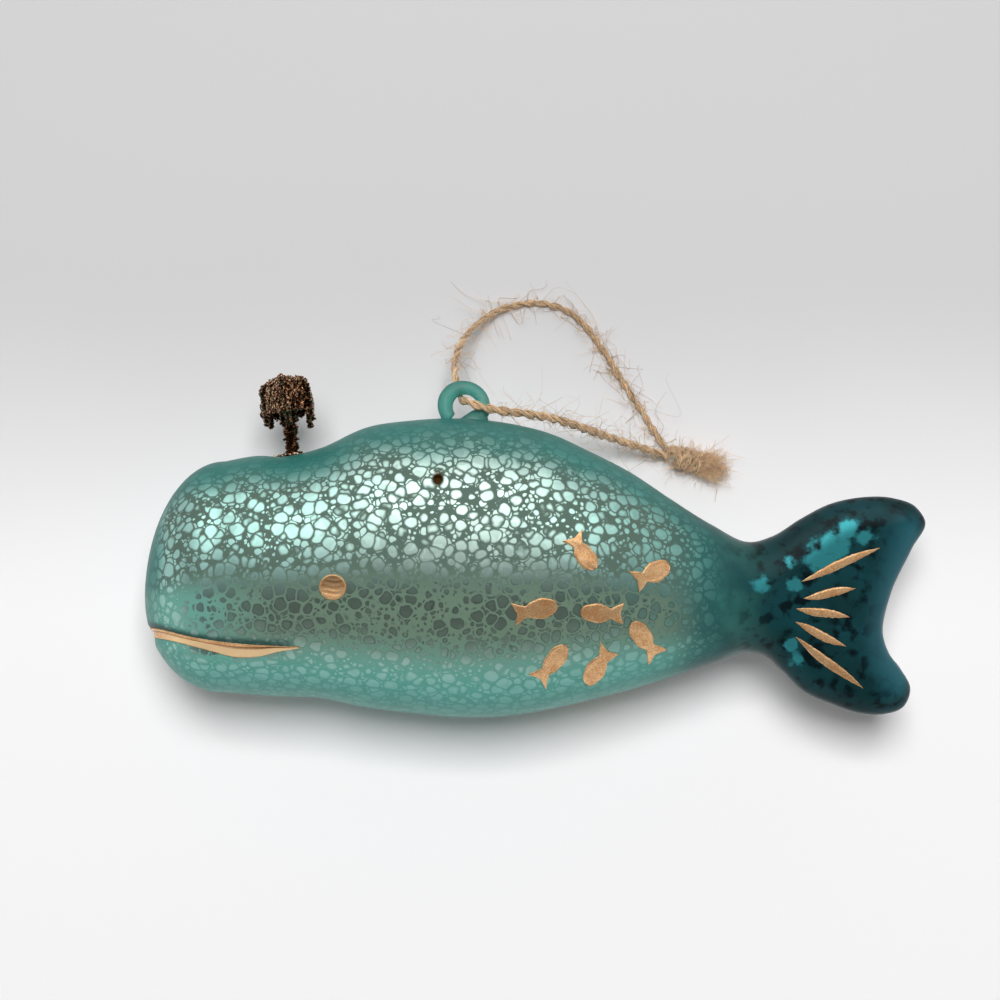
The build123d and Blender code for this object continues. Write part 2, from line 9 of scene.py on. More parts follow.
import bmesh
import bpy
import numpy as np
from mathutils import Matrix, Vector


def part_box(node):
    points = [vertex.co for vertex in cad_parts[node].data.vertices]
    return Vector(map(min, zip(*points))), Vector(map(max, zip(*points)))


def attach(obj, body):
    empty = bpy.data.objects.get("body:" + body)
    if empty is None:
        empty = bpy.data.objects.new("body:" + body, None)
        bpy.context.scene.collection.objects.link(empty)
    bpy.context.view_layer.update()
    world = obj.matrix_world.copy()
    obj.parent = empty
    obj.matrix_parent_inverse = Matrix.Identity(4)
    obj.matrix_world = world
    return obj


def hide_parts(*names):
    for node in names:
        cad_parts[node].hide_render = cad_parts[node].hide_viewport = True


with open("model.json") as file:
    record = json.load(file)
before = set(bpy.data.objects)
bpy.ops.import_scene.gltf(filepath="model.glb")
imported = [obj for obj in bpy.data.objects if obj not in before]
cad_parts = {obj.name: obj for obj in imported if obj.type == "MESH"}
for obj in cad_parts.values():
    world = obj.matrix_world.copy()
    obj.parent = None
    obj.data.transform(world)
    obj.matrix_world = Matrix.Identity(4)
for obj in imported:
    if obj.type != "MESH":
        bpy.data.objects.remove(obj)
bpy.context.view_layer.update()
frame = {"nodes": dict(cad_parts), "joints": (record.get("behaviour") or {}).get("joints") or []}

bl_info = {
    "name": "Glass whale ornament",
    "version": (1, 0, 0),
    "blender": (4, 5, 0),
    "location": "View3D > Sidebar > Whale",
    "description": "Builds the glass, gold, wire and twine of a whale ornament round its frame",
    "category": "Add Mesh",
}

MM = 0.001
TO_TAIL, TO_BACK, TO_TOP = np.eye(3)

# Colour sockets of a mix node
MIX_FIRST, MIX_SECOND = 6, 7
MIX_RESULT = 2

# Seeds, so that every run draws the same details
GOLD_SEED = 11
WIRE_SEED = 5
TWINE_SEED = 23

# Places taken from the frame
GLASS_LOW, GLASS_HIGH = (np.array(corner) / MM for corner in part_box("glass_body"))
NOSE_X, BELLY_Y = GLASS_LOW[0], GLASS_LOW[1]
MID_Z = (GLASS_LOW[2] + GLASS_HIGH[2]) / 2
BODY_HEIGHT = GLASS_HIGH[1] - BELLY_Y
BODY_THICKNESS = GLASS_HIGH[2] - GLASS_LOW[2]
RING_CENTRE = np.array(frame["joints"][0]["pos_m"]) / MM

# Body: shares along the length, back line, belly line and half thickness
FLUKE_LENGTH = 40.5
BODY_LENGTH = GLASS_HIGH[0] - NOSE_X - FLUKE_LENGTH
NOSE_DEPTH = 18.0
NOSE_SHARE = 0.40
WIDEST_SHARE = 0.46
STATIONS = np.array([
    (NOSE_DEPTH / BODY_LENGTH, 0.856, 0.083, 0.790),
    (0.180, 0.874, 0.075, 0.850),
    (0.227, 0.873, 0.069, 0.890),
    (0.284, 0.898, 0.065, 0.925),
    (0.365, 0.971, 0.033, 0.955),
    (0.435, 0.993, 0.016, 0.982),
    (0.526, 1.000, 0.000, 0.999),
    (0.601, 0.983, 0.006, 0.998),
    (0.668, 0.949, 0.028, 0.966),
    (0.734, 0.888, 0.058, 0.897),
    (0.801, 0.818, 0.093, 0.788),
    (0.867, 0.729, 0.134, 0.652),
    (0.934, 0.644, 0.179, 0.512),
    (1.000, 0.585, 0.214, 0.385),
    (1.035, 0.605, 0.180, 0.330),
])

# Fluke: edges as shares of its length and span, from the stock and the fluke's middle
FLUKE_SPAN = 50.2
FLUKE_HEIGHT_SHARE = 0.374
UPPER_EDGE = [(0.120, 0.316), (0.287, 0.398), (0.450, 0.465), (0.636, 0.498), (0.820, 0.494),
              (0.940, 0.458), (1.000, 0.385)]
LOWER_EDGE = [(0.063, -0.230), (0.172, -0.304), (0.287, -0.394), (0.450, -0.454), (0.613, -0.496),
              (0.737, -0.500), (0.855, -0.465), (0.895, -0.385)]
TRAILING_EDGE = [(0.840, -0.290), (0.779, -0.222), (0.745, -0.130), (0.788, 0.035), (0.923, 0.262)]
FLUKE_HALVES = [(0, 10.8), (5, 8.9), (10, 7.6), (18, 6.5), (28, 5.6), (41, 4.6)]
FLUKE_ROUNDING = [(0, 11.5), (12, 10.0), (41, 7.5)]
FLUKE_BLEND = 9.0

# Outline of the tail: how far it leads in along the stock, and its points
EDGE_LEAD = 6.0
OUTLINE_LEAD = 30.0
LEAD_POINTS = 60
EDGE_POINTS = 160

# Rows and columns of the whale's grid
SNOUT_ROWS = 44
TRUNK_ROWS = 176
FLUKE_ROWS = 78
LEFT_COLUMNS = 165
RIGHT_COLUMNS = 140

# Blowhole cup, vent and mouth
CUP_STATION = 2
CUP_DIAMETER = 9.0
CUP_DEPTH = 2.2
VENT_SHARES = (0.486, 0.757)
VENT_RADIUS = 1.1
VENT_DEPTH = 2.2
MOUTH_UPPER = [(-3.0, 20.6), (4.1, 19.6), (11.0, 17.8), (19.6, 16.4), (29.9, 15.6), (37.4, 15.5)]
MOUTH_LOWER = [(-3.0, 18.6), (4.0, 17.2), (13.0, 14.9), (20.7, 13.1), (27.3, 13.3), (32.5, 14.4),
               (37.4, 15.3)]
MOUTH_LENGTH = 37.4
MOUTH_DEPTH = 1.1
MOUTH_UNDERCUT = 0.3
MOUTH_LIP = 0.35
MOUTH_LIP_REACH = 1.3
MOUTH_CREASE = 0.66
MOUTH_FADE = 7.0
MOUTH_ROWS = 241
MOUTH_COLUMNS = 17

# Gold marks
EYE_SHARES = (0.323, 0.410)
EYE_RADIUS = 3.0
EYE_FLATTENING = 0.94
EYE_FILM = 0.24
EYE_ROWS = 26
EYE_COLUMNS = 72
FISH_LENGTH = 9.4
FISH_WIDTH = 4.3
FISH_ROWS = 44
FISH_COLUMNS = 15
FISH_PLACES = [(0.718, 0.516, -57), (0.828, 0.464, 27), (0.644, 0.340, 12), (0.741, 0.331, 179),
               (0.812, 0.255, 130), (0.669, 0.178, 51), (0.738, 0.159, -123)]
STROKE_WIDTH = 1.95
STROKE_ROWS = 60
STROKE_COLUMNS = 9
STROKES = [(0.486, 0.178, 19.9, 23), (0.420, 0.046, 12.3, 11), (0.380, -0.043, 12.4, -9),
           (0.365, -0.141, 12.8, -25), (0.412, -0.268, 19.2, -37)]
FILM_SINK = 0.2

# Colour fades along the glass: from the fluke's start, behind the nose, and by x itself, and the reach of the
# painted highlight along x
TAIL_FADE = (-29, 13)
CHIN_FADE = (36, 6)
REAR_FADE = (-5, 40)
PAINTED_HIGHLIGHT_REACH = 30

# Silvered spots, large to fine: fineness, radius and gap of each layer
SPECKLE_LAYERS = ((0.88, 0.46, 0.07), (1.4, 0.42, 0.05), (2.4, 0.37, 0.03))
SPECKLE_WARP = 0.0014

# Cyan patches on the fluke: shares of its length and span, and reach
CYAN_PATCHES = [(0.37, 0.20, 4.2), (0.45, 0.27, 4.0), (0.54, 0.34, 3.0), (0.63, 0.31, 2.4),
                (0.195, 0.19, 1.9), (0.03, 0.084, 2.2), (0.225, 0.089, 2.0), (0.24, -0.25, 1.9),
                (0.19, -0.19, 1.6)]

# Tints of the glass between and under its spots, among them painted light on the belly's side of the net and
# painted shade along the outline and over the mouth
BELLY_SIDE_LIGHT_NET = (0.130, 0.195, 0.142)
LIT_NET = (0.125, 0.40, 0.335)
STOCK_NET = (0.030, 0.125, 0.112)
CLOUDED_PETROL = (0.006, 0.042, 0.049)
GRIME = (0.002, 0.007, 0.009)
SPOT_RIM = (0.018, 0.040, 0.030)
TRAIL_BLUE = (0.022, 0.110, 0.140)
FLUKE_CYAN = (0.044, 0.31, 0.34)
PAINTED_OUTLINE_SHADE = (0.008, 0.045, 0.04)
LIP_SHADE = (0.012, 0.055, 0.048)
VENT_RUST = (0.055, 0.022, 0.005)

# Tints of the silvered spots, with a painted highlight and painted shade among them, of the other pieces,
# with painted light and painted shade on the gold, and of the floor behind the whale, greyed there as painted
# shade
PAINTED_HIGHLIGHT_SILVER = (0.66, 0.86, 0.78)
BELLY_SIDE_SHADE_SILVER = (0.36, 0.50, 0.41)
REAR_SILVER = (0.16, 0.43, 0.38)
EDGE_TINT_AND_SHADE_SILVER = (0.070, 0.34, 0.30)
TAIL_SILVER = (0.06, 0.30, 0.30)
RING_TINTS = ((0.065, 0.35, 0.295), (0.13, 0.46, 0.39))
WORN_GOLD = (0.62, 0.30, 0.12)
PAINTED_LIT_GOLD = (0.95, 0.67, 0.37)
PAINTED_CREASE_SHADE = (0.10, 0.04, 0.015)
BRIGHT_BRONZE = (0.80, 0.56, 0.37)
GLUE_TINTS = ((0.62, 0.55, 0.38), (0.80, 0.76, 0.62))
FAR_FLOOR_SHADE = 0.655

# Ring and the foot that fuses it to the back
RING_RADIUS = 4.35
RING_ROD = 3.0
RING_START = -40.0
RING_SWEEP = 262.0
RING_SWELL = 0.35
RING_TIP = 0.035
RING_STEPS = 90
RING_SIDES = 26
FOOT_BEHIND = 1.72
FOOT_REACH = 4.3
FOOT_SINK = 1.6
FOOT_ROWS = 40
FOOT_COLUMNS = 24

# Spout
SPOUT_TILT = 8.0
WIRE_SIDES = 4
STEM_OFFSET = 2.0
STEM_LENGTH = 8.2
STEM_TOP = 3.0
STEM_STEPS = 320
PAD_SINK = 0.5
PAD_TURNS = 7
PAD_STEPS = 500
CORE_RADIUS = 0.8
ARM_COUNT = 6
ARM_STEPS = 420
ARM_RISES = (8.0, 6.8)
ARM_REACHES = (5.4, 6.0)
ARM_DROPS = (9.5, 8.0)
ARM_FOOT = 1.7
DOME_WIRES = 5
DOME_RADIUS = 5.5
DOME_FOOT = 3.6
DOME_RISE = 6.3

# Twine
TWINE_GAP = 0.35
TWINE_WRAP = 108.0
TWINE_STEP = 0.32
PLY_BUNDLES = 11
BUNDLE_SIDES = 5
KNOT_START = np.array((33.0, 24.2, 3.2))
KNOT_HEADING = math.radians(-14)
KNOT_LENGTH = 8.5
KNOT_RADIUS = 3.2
KNOT_TURNS = 2.6
KNOT_STEPS = 260
TAIL_LENGTH = 8.0
TAIL_FIBRES = 240
FIBRE_STEPS = 13
FIBRE_SIDES = 3
FIBRE_FLOOR = 0.12
FUZZ_CLEARANCE = 9.0

# Stage
SENSOR_WIDTH = 36.0
FLOOR_REACH = 3.0

# Lights: place, size and power
SHEEN_LIGHT = ((0, 0.72, 0.80), (1.6, 0.80), 8.6)
KEY_LIGHT = ((0, 0.20, 1.05), (0.40, 0.40), 10.2)


def along(share):
    """X at a share of the body length behind the nose."""
    return NOSE_X + share * BODY_LENGTH


def up(share):
    """Y at a share of the body height above the belly."""
    return BELLY_Y + share * BODY_HEIGHT


def circle(turn, first, second):
    """Places at an angle on the circle of two directions: first * cos(turn) + second * sin(turn)."""
    turn = np.asarray(turn)[..., None]
    return first * np.cos(turn) + second * np.sin(turn)


FLUKE_X, FLUKE_Y = along(1), up(FLUKE_HEIGHT_SHARE)
VENT_X, VENT_Y = along(VENT_SHARES[0]), up(VENT_SHARES[1])
EYE_X, EYE_Y = along(EYE_SHARES[0]), up(EYE_SHARES[1])
SPOUT_SIDE = circle(math.radians(SPOUT_TILT), TO_TAIL, TO_BACK)
SPOUT_AXIS = circle(math.radians(SPOUT_TILT), TO_BACK, -TO_TAIL)
SPOUT_ACROSS = np.cross(SPOUT_AXIS, SPOUT_SIDE)
CUP_POINT = np.array((along(STATIONS[CUP_STATION, 0]), up(STATIONS[CUP_STATION, 1]), MID_Z))
CUP_RADIUS = (CUP_DIAMETER**2 / 4 + CUP_DEPTH**2) / (2 * CUP_DEPTH)
CUP_CENTRE = CUP_POINT + SPOUT_AXIS * (CUP_RADIUS - CUP_DEPTH)
STEM_FOOT = CUP_POINT + SPOUT_SIDE * STEM_OFFSET
STEM_END = STEM_FOOT + SPOUT_AXIS * STEM_LENGTH
KNOT_AHEAD = circle(KNOT_HEADING, TO_TAIL, TO_BACK)
KNOT_ASIDE = circle(KNOT_HEADING, TO_BACK, -TO_TAIL)


class GlassSettings(bpy.types.PropertyGroup):
    """Sizes and colours of the glass."""

    speckle: bpy.props.FloatProperty(
        name="Speckle", description="Spacing of the silvered spots", default=0.0029, unit="LENGTH")
    silver: bpy.props.FloatVectorProperty(
        name="Silver", description="Silvered spots on the flanks", subtype="COLOR",
        default=(0.45, 0.78, 0.71))
    net: bpy.props.FloatVectorProperty(
        name="Net", description="Clear net between the spots", subtype="COLOR",
        default=(0.085, 0.135, 0.108))
    # Teal near the outline: partly the glass's own tint, partly painted shade of the outline
    teal: bpy.props.FloatVectorProperty(
        name="Teal", description="Stained glass near the outline", subtype="COLOR",
        default=(0.028, 0.165, 0.142))
    petrol: bpy.props.FloatVectorProperty(
        name="Petrol", description="Dark glass of the tail", subtype="COLOR",
        default=(0.005, 0.027, 0.030))


class GoldSettings(bpy.types.PropertyGroup):
    """Sizes and colours of the gold marks."""

    film: bpy.props.FloatProperty(
        name="Film", description="Thickness of the gold", default=0.00024, unit="LENGTH")
    gold: bpy.props.FloatVectorProperty(
        name="Gold", description="Colour of the gold", subtype="COLOR", default=(0.92, 0.60, 0.32))


class SpoutSettings(bpy.types.PropertyGroup):
    """Sizes and colours of the wire spout."""

    wire: bpy.props.FloatProperty(
        name="Wire", description="Thickness of the crinkled wire", default=0.00042, unit="LENGTH")
    bronze: bpy.props.FloatVectorProperty(
        name="Bronze", description="Colour of the wire", subtype="COLOR", default=(0.125, 0.064, 0.038))


class TwineSettings(bpy.types.PropertyGroup):
    """Sizes and colours of the twine hanger."""

    diameter: bpy.props.FloatProperty(
        name="Twine", description="Thickness of the twine", default=0.0020, unit="LENGTH")
    lay: bpy.props.FloatProperty(
        name="Lay", description="Length of one turn of the twine", default=0.0066, unit="LENGTH")
    fuzz: bpy.props.IntProperty(
        name="Fuzz", description="Number of stray fibres on the loop and on the knot", default=620, min=0)
    jute: bpy.props.FloatVectorProperty(
        name="Jute", description="Colour of the twine", subtype="COLOR", default=(0.59, 0.395, 0.225))


class StageSettings(bpy.types.PropertyGroup):
    """Camera and floor."""

    distance: bpy.props.FloatProperty(
        name="Distance", description="From the camera to its aim", default=0.480, unit="LENGTH")
    elevation: bpy.props.FloatProperty(
        name="Elevation", description="Height of the camera over the horizon",
        default=math.radians(84), subtype="ANGLE")
    aim: bpy.props.FloatVectorProperty(
        name="Aim", description="Point that the camera looks at", subtype="TRANSLATION",
        default=(-0.00847, 0.01055, MID_Z * MM))
    width: bpy.props.FloatProperty(
        name="Width", description="Width of the view at the aim", default=0.23196, unit="LENGTH")
    floor: bpy.props.FloatVectorProperty(
        name="Floor", description="Colour of the floor", subtype="COLOR", default=(0.92, 0.91, 0.92))


def ease(low, high, value):
    """Smooth rise from 0 at low to 1 at high: 3t^2 - 2t^3."""
    t = np.clip((value - low) / (high - low), 0, 1)
    return t * t * (3 - 2 * t)


def bell(middle, reach, value):
    """Bell with its top of 1 at the middle: exp(-((value - middle) / reach)^2)."""
    return np.exp(-(((value - middle) / reach) ** 2))


def arch(s):
    """Half circle from -1 to 1: sqrt(1 - s^2), and 0 beyond."""
    return np.sqrt(np.clip(1 - s**2, 0, 1))


def smooth_line(x, knots, values):
    """Cubic through the knots, with the slope at each knot taken from its neighbours."""
    knots, values = np.asarray(knots, float), np.asarray(values, float)
    slopes = np.gradient(values, knots)
    at = np.clip(np.searchsorted(knots, x) - 1, 0, len(knots) - 2)
    width = knots[at + 1] - knots[at]
    t = np.clip((x - knots[at]) / width, 0, 1)
    return (
        values[at] * (1 + 2 * t) * (1 - t) ** 2
        + values[at + 1] * t * t * (3 - 2 * t)
        + slopes[at] * width * t * (1 - t) ** 2
        - slopes[at + 1] * width * t * t * (1 - t)
    )


def distances(points):
    """Length of a line of points up to each of them."""
    return np.concatenate([[0], np.cumsum(np.linalg.norm(np.diff(points, axis=0), axis=1))])


def smooth_path(t, points, first, last):
    """Points at shares t of the way from the first to the last given point of one smooth path."""
    points = np.asarray(points, float)
    knots = distances(points)
    places = knots[first] + np.asarray(t) * (knots[last] - knots[first])
    return np.stack([smooth_line(places, knots, column) for column in points.T], axis=-1)


def spaced(count, low, high, *bumps):
    """Count places from low to high, closer together round each bump (middle, reach, strength)."""
    fine = np.linspace(low, high, 4000)
    density = 1 + sum(strength * bell(middle, reach, fine) for middle, reach, strength in bumps)
    share = np.concatenate([[0], np.cumsum((density[1:] + density[:-1]) / 2)])
    return np.interp(np.linspace(0, share[-1], count), share, fine)


def unit(vectors):
    """The vectors at length one."""
    return vectors / np.maximum(np.linalg.norm(vectors, axis=-1, keepdims=True), 1e-12)


def grid_normals(points, closed):
    """Normals of a grid of points: the cross product of its two directions."""
    down = np.gradient(points, axis=0)
    if closed:
        across = np.roll(points, -1, 1) - np.roll(points, 1, 1)
    else:
        across = np.gradient(points, axis=1)
    return unit(np.cross(down, across))


def body_lines(x):
    """Back, belly and half thickness at x: smooth lines through the stations, an ellipse over the snout."""
    share = (x - NOSE_X) / BODY_LENGTH
    back, belly, half = (smooth_line(share, STATIONS[:, 0], STATIONS[:, column]) for column in (1, 2, 3))
    rise = arch(np.clip((STATIONS[0, 0] - share) / STATIONS[0, 0], 0, 1))
    back = NOSE_SHARE + (back - NOSE_SHARE) * rise
    belly = NOSE_SHARE + (belly - NOSE_SHARE) * rise
    return up(back), up(belly), half * rise * BODY_THICKNESS / 2


def body_height(x, y):
    """Height of the flank over the middle plane: half * sqrt(1 - q^2), q measured from the widest line."""
    back, belly, half = body_lines(x)
    widest = belly + WIDEST_SHARE * (back - belly)
    reach = np.where(y > widest, back - widest, widest - belly)
    return half * arch((y - widest) / np.maximum(reach, 1e-9))


def fluke_point(shares):
    """Points in millimetres from shares of the fluke's length and span."""
    return np.asarray(shares, float) * (FLUKE_LENGTH, FLUKE_SPAN) + (FLUKE_X, FLUKE_Y)


def fluke_edge(t, first, last):
    """Shares t along the fluke's outline between two of its corners.

    The outline is one smooth path from the back line over both tips to the belly line.
    """
    stock_x = np.array((FLUKE_X - EDGE_LEAD, FLUKE_X))
    back, belly, _ = body_lines(stock_x)
    points = np.vstack([
        np.stack([stock_x, back], -1), fluke_point(UPPER_EDGE), fluke_point(TRAILING_EDGE[::-1]),
        fluke_point(LOWER_EDGE[::-1]), np.stack([stock_x, belly], -1)[::-1],
    ])
    corners = {
        "back": 1,
        "upper tip": 1 + len(UPPER_EDGE),
        "lower tip": 2 + len(UPPER_EDGE) + len(TRAILING_EDGE),
        "belly": len(points) - 2,
    }
    return smooth_path(t, points, corners[first], corners[last])


def fluke_outline():
    """Dense outline of the tail, from the back line over the fluke to the belly line."""
    dense = np.linspace(0, 1, EDGE_POINTS)
    stock_x = np.linspace(FLUKE_X - OUTLINE_LEAD, FLUKE_X, LEAD_POINTS, endpoint=False)
    back, belly, _ = body_lines(stock_x)
    corners = ("back", "upper tip", "lower tip", "belly")
    edges = [fluke_edge(dense, *pair) for pair in zip(corners, corners[1:])]
    return np.vstack([np.stack([stock_x, back], -1), *edges, np.stack([stock_x, belly], -1)[::-1]])


def fluke_height(x, y):
    """Height of the fluke's pillow: its half thickness times a round edge by the distance to the outline."""
    outline = fluke_outline()
    sides = np.diff(outline, axis=0)
    squares = np.maximum((sides**2).sum(-1), 1e-12)
    flat = np.stack([np.ravel(x), np.ravel(y)], -1)
    nearest = []
    for part in np.array_split(flat, max(1, len(flat) // 2000)):
        reach = part[:, None, :] - outline[None, :-1]
        foot = np.clip((reach * sides).sum(-1) / squares, 0, 1)
        nearest.append(np.linalg.norm(reach - foot[..., None] * sides, axis=-1).min(1))
    nearest = np.concatenate(nearest).reshape(np.shape(x))
    behind = x - FLUKE_X
    half = smooth_line(behind, *zip(*FLUKE_HALVES))
    rounding = smooth_line(behind, *zip(*FLUKE_ROUNDING))
    return half * arch(1 - np.clip(nearest / rounding, 0, 1))


def mouth_edges(x):
    """Y of the mouth's upper and lower edge at x."""
    behind = x - NOSE_X
    upper = BELLY_Y + smooth_line(behind, *zip(*MOUTH_UPPER))
    lower = BELLY_Y + smooth_line(behind, *zip(*MOUTH_LOWER))
    return upper, lower


def mouth_depth(x, y, under=0.0):
    """Depth of the mouth: a V between its edges, deeper by under inside them, and a soft lip beyond them."""
    upper, lower = mouth_edges(x)
    share = (y - lower) / np.maximum(upper - lower, 0.2)
    wall = np.clip(np.minimum(share / MOUTH_CREASE, (1 - share) / (1 - MOUTH_CREASE)), 0, 1)
    beyond = np.maximum(lower - y, y - upper)
    inside = MOUTH_LIP + (MOUTH_DEPTH - MOUTH_LIP) * wall + under * ease(0, 0.4, -beyond)
    lip = MOUTH_LIP * (1 - ease(0, MOUTH_LIP_REACH, beyond))
    fade = ease(0, MOUTH_FADE, NOSE_X + MOUTH_LENGTH - x)
    return np.where(beyond > 0, lip, inside) * fade


def tubes(paths, radii, sides, reference):
    """Tubes along paths (number, steps, 3): rings square to each path, closed to a point at both ends."""
    heading = unit(np.gradient(paths, axis=1))
    first = unit(np.cross(heading, np.broadcast_to(reference, paths.shape)))
    second = np.cross(heading, first)
    turn = np.linspace(0, 2 * np.pi, sides, endpoint=False)
    ring = circle(turn, first[:, :, None], second[:, :, None])
    body = paths[:, :, None] + ring * np.broadcast_to(radii, paths.shape[:2])[:, :, None, None]
    ends = [np.repeat(paths[:, at, None, None], sides, axis=2) for at in (0, -1)]
    return np.concatenate([ends[0], body, ends[1]], axis=1)


def put_piece(name, shells, material, body, nodes, smooth=True, marks=None):
    """One object from shells (number, rows, columns, 3) in millimetres, each closed round its columns.

    Rows that meet at a point or a line are merged, so that poles and edges close.
    """
    points, faces, start = [], [], 0
    for shell in shells:
        number, rows, columns, _ = shell.shape
        index = np.arange(number * rows * columns).reshape(number, rows, columns) + start
        index = np.concatenate([index, index[:, :, :1]], axis=2)
        quads = [index[:, :-1, :-1], index[:, :-1, 1:], index[:, 1:, 1:], index[:, 1:, :-1]]
        faces.append(np.stack(quads, -1).reshape(-1, 4))
        points.append(shell.reshape(-1, 3))
        start += number * rows * columns
    points, faces = np.concatenate(points) * MM, np.concatenate(faces)
    mesh = bpy.data.meshes.new(name)
    mesh.vertices.add(len(points))
    mesh.vertices.foreach_set("co", points.astype(np.float32).ravel())
    mesh.loops.add(faces.size)
    mesh.loops.foreach_set("vertex_index", faces.astype(np.int32).ravel())
    mesh.polygons.add(len(faces))
    mesh.polygons.foreach_set("loop_start", np.arange(0, faces.size, 4, dtype=np.int32))
    mesh.update(calc_edges=True)
    for mark, values in (marks or {}).items():
        attribute = mesh.attributes.new(mark, "FLOAT", "POINT")
        attribute.data.foreach_set("value", values.astype(np.float32).ravel())
    merged = bmesh.new()
    merged.from_mesh(mesh)
    bmesh.ops.remove_doubles(merged, verts=merged.verts, dist=1e-7)
    bmesh.ops.recalc_face_normals(merged, faces=merged.faces)
    merged.to_mesh(mesh)
    merged.free()
    mesh.polygons.foreach_set("use_smooth", np.full(len(mesh.polygons), smooth))
    mesh.materials.append(material)
    piece = bpy.data.objects.new(name, mesh)
    bpy.context.scene.collection.objects.link(piece)
    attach(piece, body)
    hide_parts(*nodes)
    return piece


def opaque(tint):
    """A colour with full opacity, or a socket as it is."""
    return tint if isinstance(tint, bpy.types.NodeSocket) else (*tint, 1.0)


class Nodes:
    """Short ways to add and link the nodes of one material, world or node group."""

    def __init__(self, tree):
        self.tree = tree

    def feed(self, node, inputs):
        """Fills a node's inputs, each given as a value or as a socket to link from."""
        for key, value in inputs.items():
            if isinstance(value, bpy.types.NodeSocket):
                self.tree.links.new(value, node.inputs[key])
            else:
                node.inputs[key].default_value = value

    def add(self, kind, inputs=None, **settings):
        """A shader node with its settings and inputs."""
        node = self.tree.nodes.new(f"ShaderNode{kind}")
        for key, value in settings.items():
            setattr(node, key, value)
        self.feed(node, inputs or {})
        return node

    def place(self):
        """Object coordinates."""
        return self.add("TexCoord").outputs["Object"]

    def mark(self, name):
        """A mask that put_piece has left on the mesh."""
        return self.add("Attribute", attribute_name=name).outputs["Fac"]

    def noise(self, place, scale, detail):
        """Soft noise from 0 to 1."""
        return self.add("TexNoise", {"Vector": place, "Scale": scale, "Detail": detail}).outputs["Fac"]

    def math(self, operation, first, second=0.0, third=0.0):
        """Result of a math node."""
        return self.add("Math", {0: first, 1: second, 2: third}, operation=operation).outputs[0]

    def times(self, first, second):
        """Product of two values."""
        return self.math("MULTIPLY", first, second)

    def vector(self, operation, first, second):
        """Result of a vector math node."""
        return self.add("VectorMath", {0: first, 1: second}, operation=operation).outputs[0]

    def step(self, value, low, high, start=0.0, end=1.0):
        """Smooth step of a value from start at low to end at high."""
        inputs = {"Value": value, "From Min": low, "From Max": high, "To Min": start, "To Max": end}
        return self.add("MapRange", inputs, interpolation_type="SMOOTHSTEP").outputs["Result"]

    def layered(self, base, *layers):
        """A colour with layers (share, colour) mixed over it in turn."""
        for share, tint in layers:
            inputs = {0: share, MIX_FIRST: opaque(base), MIX_SECOND: opaque(tint)}
            base = self.add("Mix", inputs, data_type="RGBA").outputs[MIX_RESULT]
        return base


def new_material(name):
    """Node material, returned with its nodes and its Principled shader."""
    material = bpy.data.materials.new(name)
    material.use_nodes = True
    tree = material.node_tree
    return material, Nodes(tree), tree.nodes["Principled BSDF"]


def new_group(name, vectors, values, outputs):
    """Node group with vector and value inputs and value outputs, returned with its nodes and both ends."""
    group = bpy.data.node_groups.new(name, "ShaderNodeTree")
    for socket in (*vectors, *values):
        kind = "NodeSocketVector" if socket in vectors else "NodeSocketFloat"
        group.interface.new_socket(socket, in_out="INPUT", socket_type=kind)
    for socket in outputs:
        group.interface.new_socket(socket, in_out="OUTPUT", socket_type="NodeSocketFloat")
    given = group.nodes.new("NodeGroupInput").outputs
    return group, Nodes(group), given, group.nodes.new("NodeGroupOutput")


def speckle_group():
    """Rounded spots with a net between them: slices of equal balls, kept apart by a narrow gap.

    Mask is 1 in a spot, Halo is 0 in a spot and its rim, and Tone changes from spot to spot.
    """
    group, nodes, given, end = new_group(
        "speckle", ("Vector",), ("Scale", "Radius", "Gap", "Warp"), ("Mask", "Halo", "Tone"))
    noise = nodes.add("TexNoise", {"Vector": given["Vector"], "Scale": 380.0, "Detail": 1.0})
    centred = nodes.vector("SUBTRACT", noise.outputs["Color"], (0.5, 0.5, 0.5))
    warp = nodes.add("VectorMath", {0: centred, "Scale": given["Warp"]}, operation="SCALE")
    place = nodes.vector("ADD", given["Vector"], warp.outputs[0])
    cell = {"Vector": place, "Scale": given["Scale"], "Randomness": 1.0}
    near = nodes.add("TexVoronoi", cell).outputs
    rim = nodes.add("TexVoronoi", cell, feature="DISTANCE_TO_EDGE").outputs
    disc = nodes.math("SUBTRACT", given["Radius"], near["Distance"])
    inside = nodes.math("SUBTRACT", rim["Distance"], given["Gap"])
    field = nodes.math("SMOOTH_MIN", disc, inside, 0.26)
    nodes.feed(end, {
        "Mask": nodes.step(field, -0.08, 0.05),
        "Halo": nodes.step(field, -0.16, -0.10, 1.0, 0.0),
        "Tone": nodes.add("SeparateColor", {0: near["Color"]}).outputs["Green"],
    })
    return group


def patch_group():
    """Ragged patch: a soft disc of a given middle and reach, on x and y alone, frayed by noise."""
    group, nodes, given, end = new_group("patch", ("Vector", "Middle"), ("Reach",), ("Mask",))
    offset = nodes.vector("SUBTRACT", given["Vector"], given["Middle"])
    flat = nodes.vector("MULTIPLY", offset, (1.0, 1.15, 0.0))
    far = nodes.add("VectorMath", {0: flat}, operation="LENGTH").outputs["Value"]
    share = nodes.math("DIVIDE", far, given["Reach"])
    noise = nodes.noise(given["Vector"], scale=330.0, detail=3.0)
    fray = nodes.math("MULTIPLY_ADD", noise, 2.8, -1.4)
    nodes.feed(end, {"Mask": nodes.step(nodes.math("ADD", share, fray), 0.25, 1.05, 1.0, 0.0)})
    return group


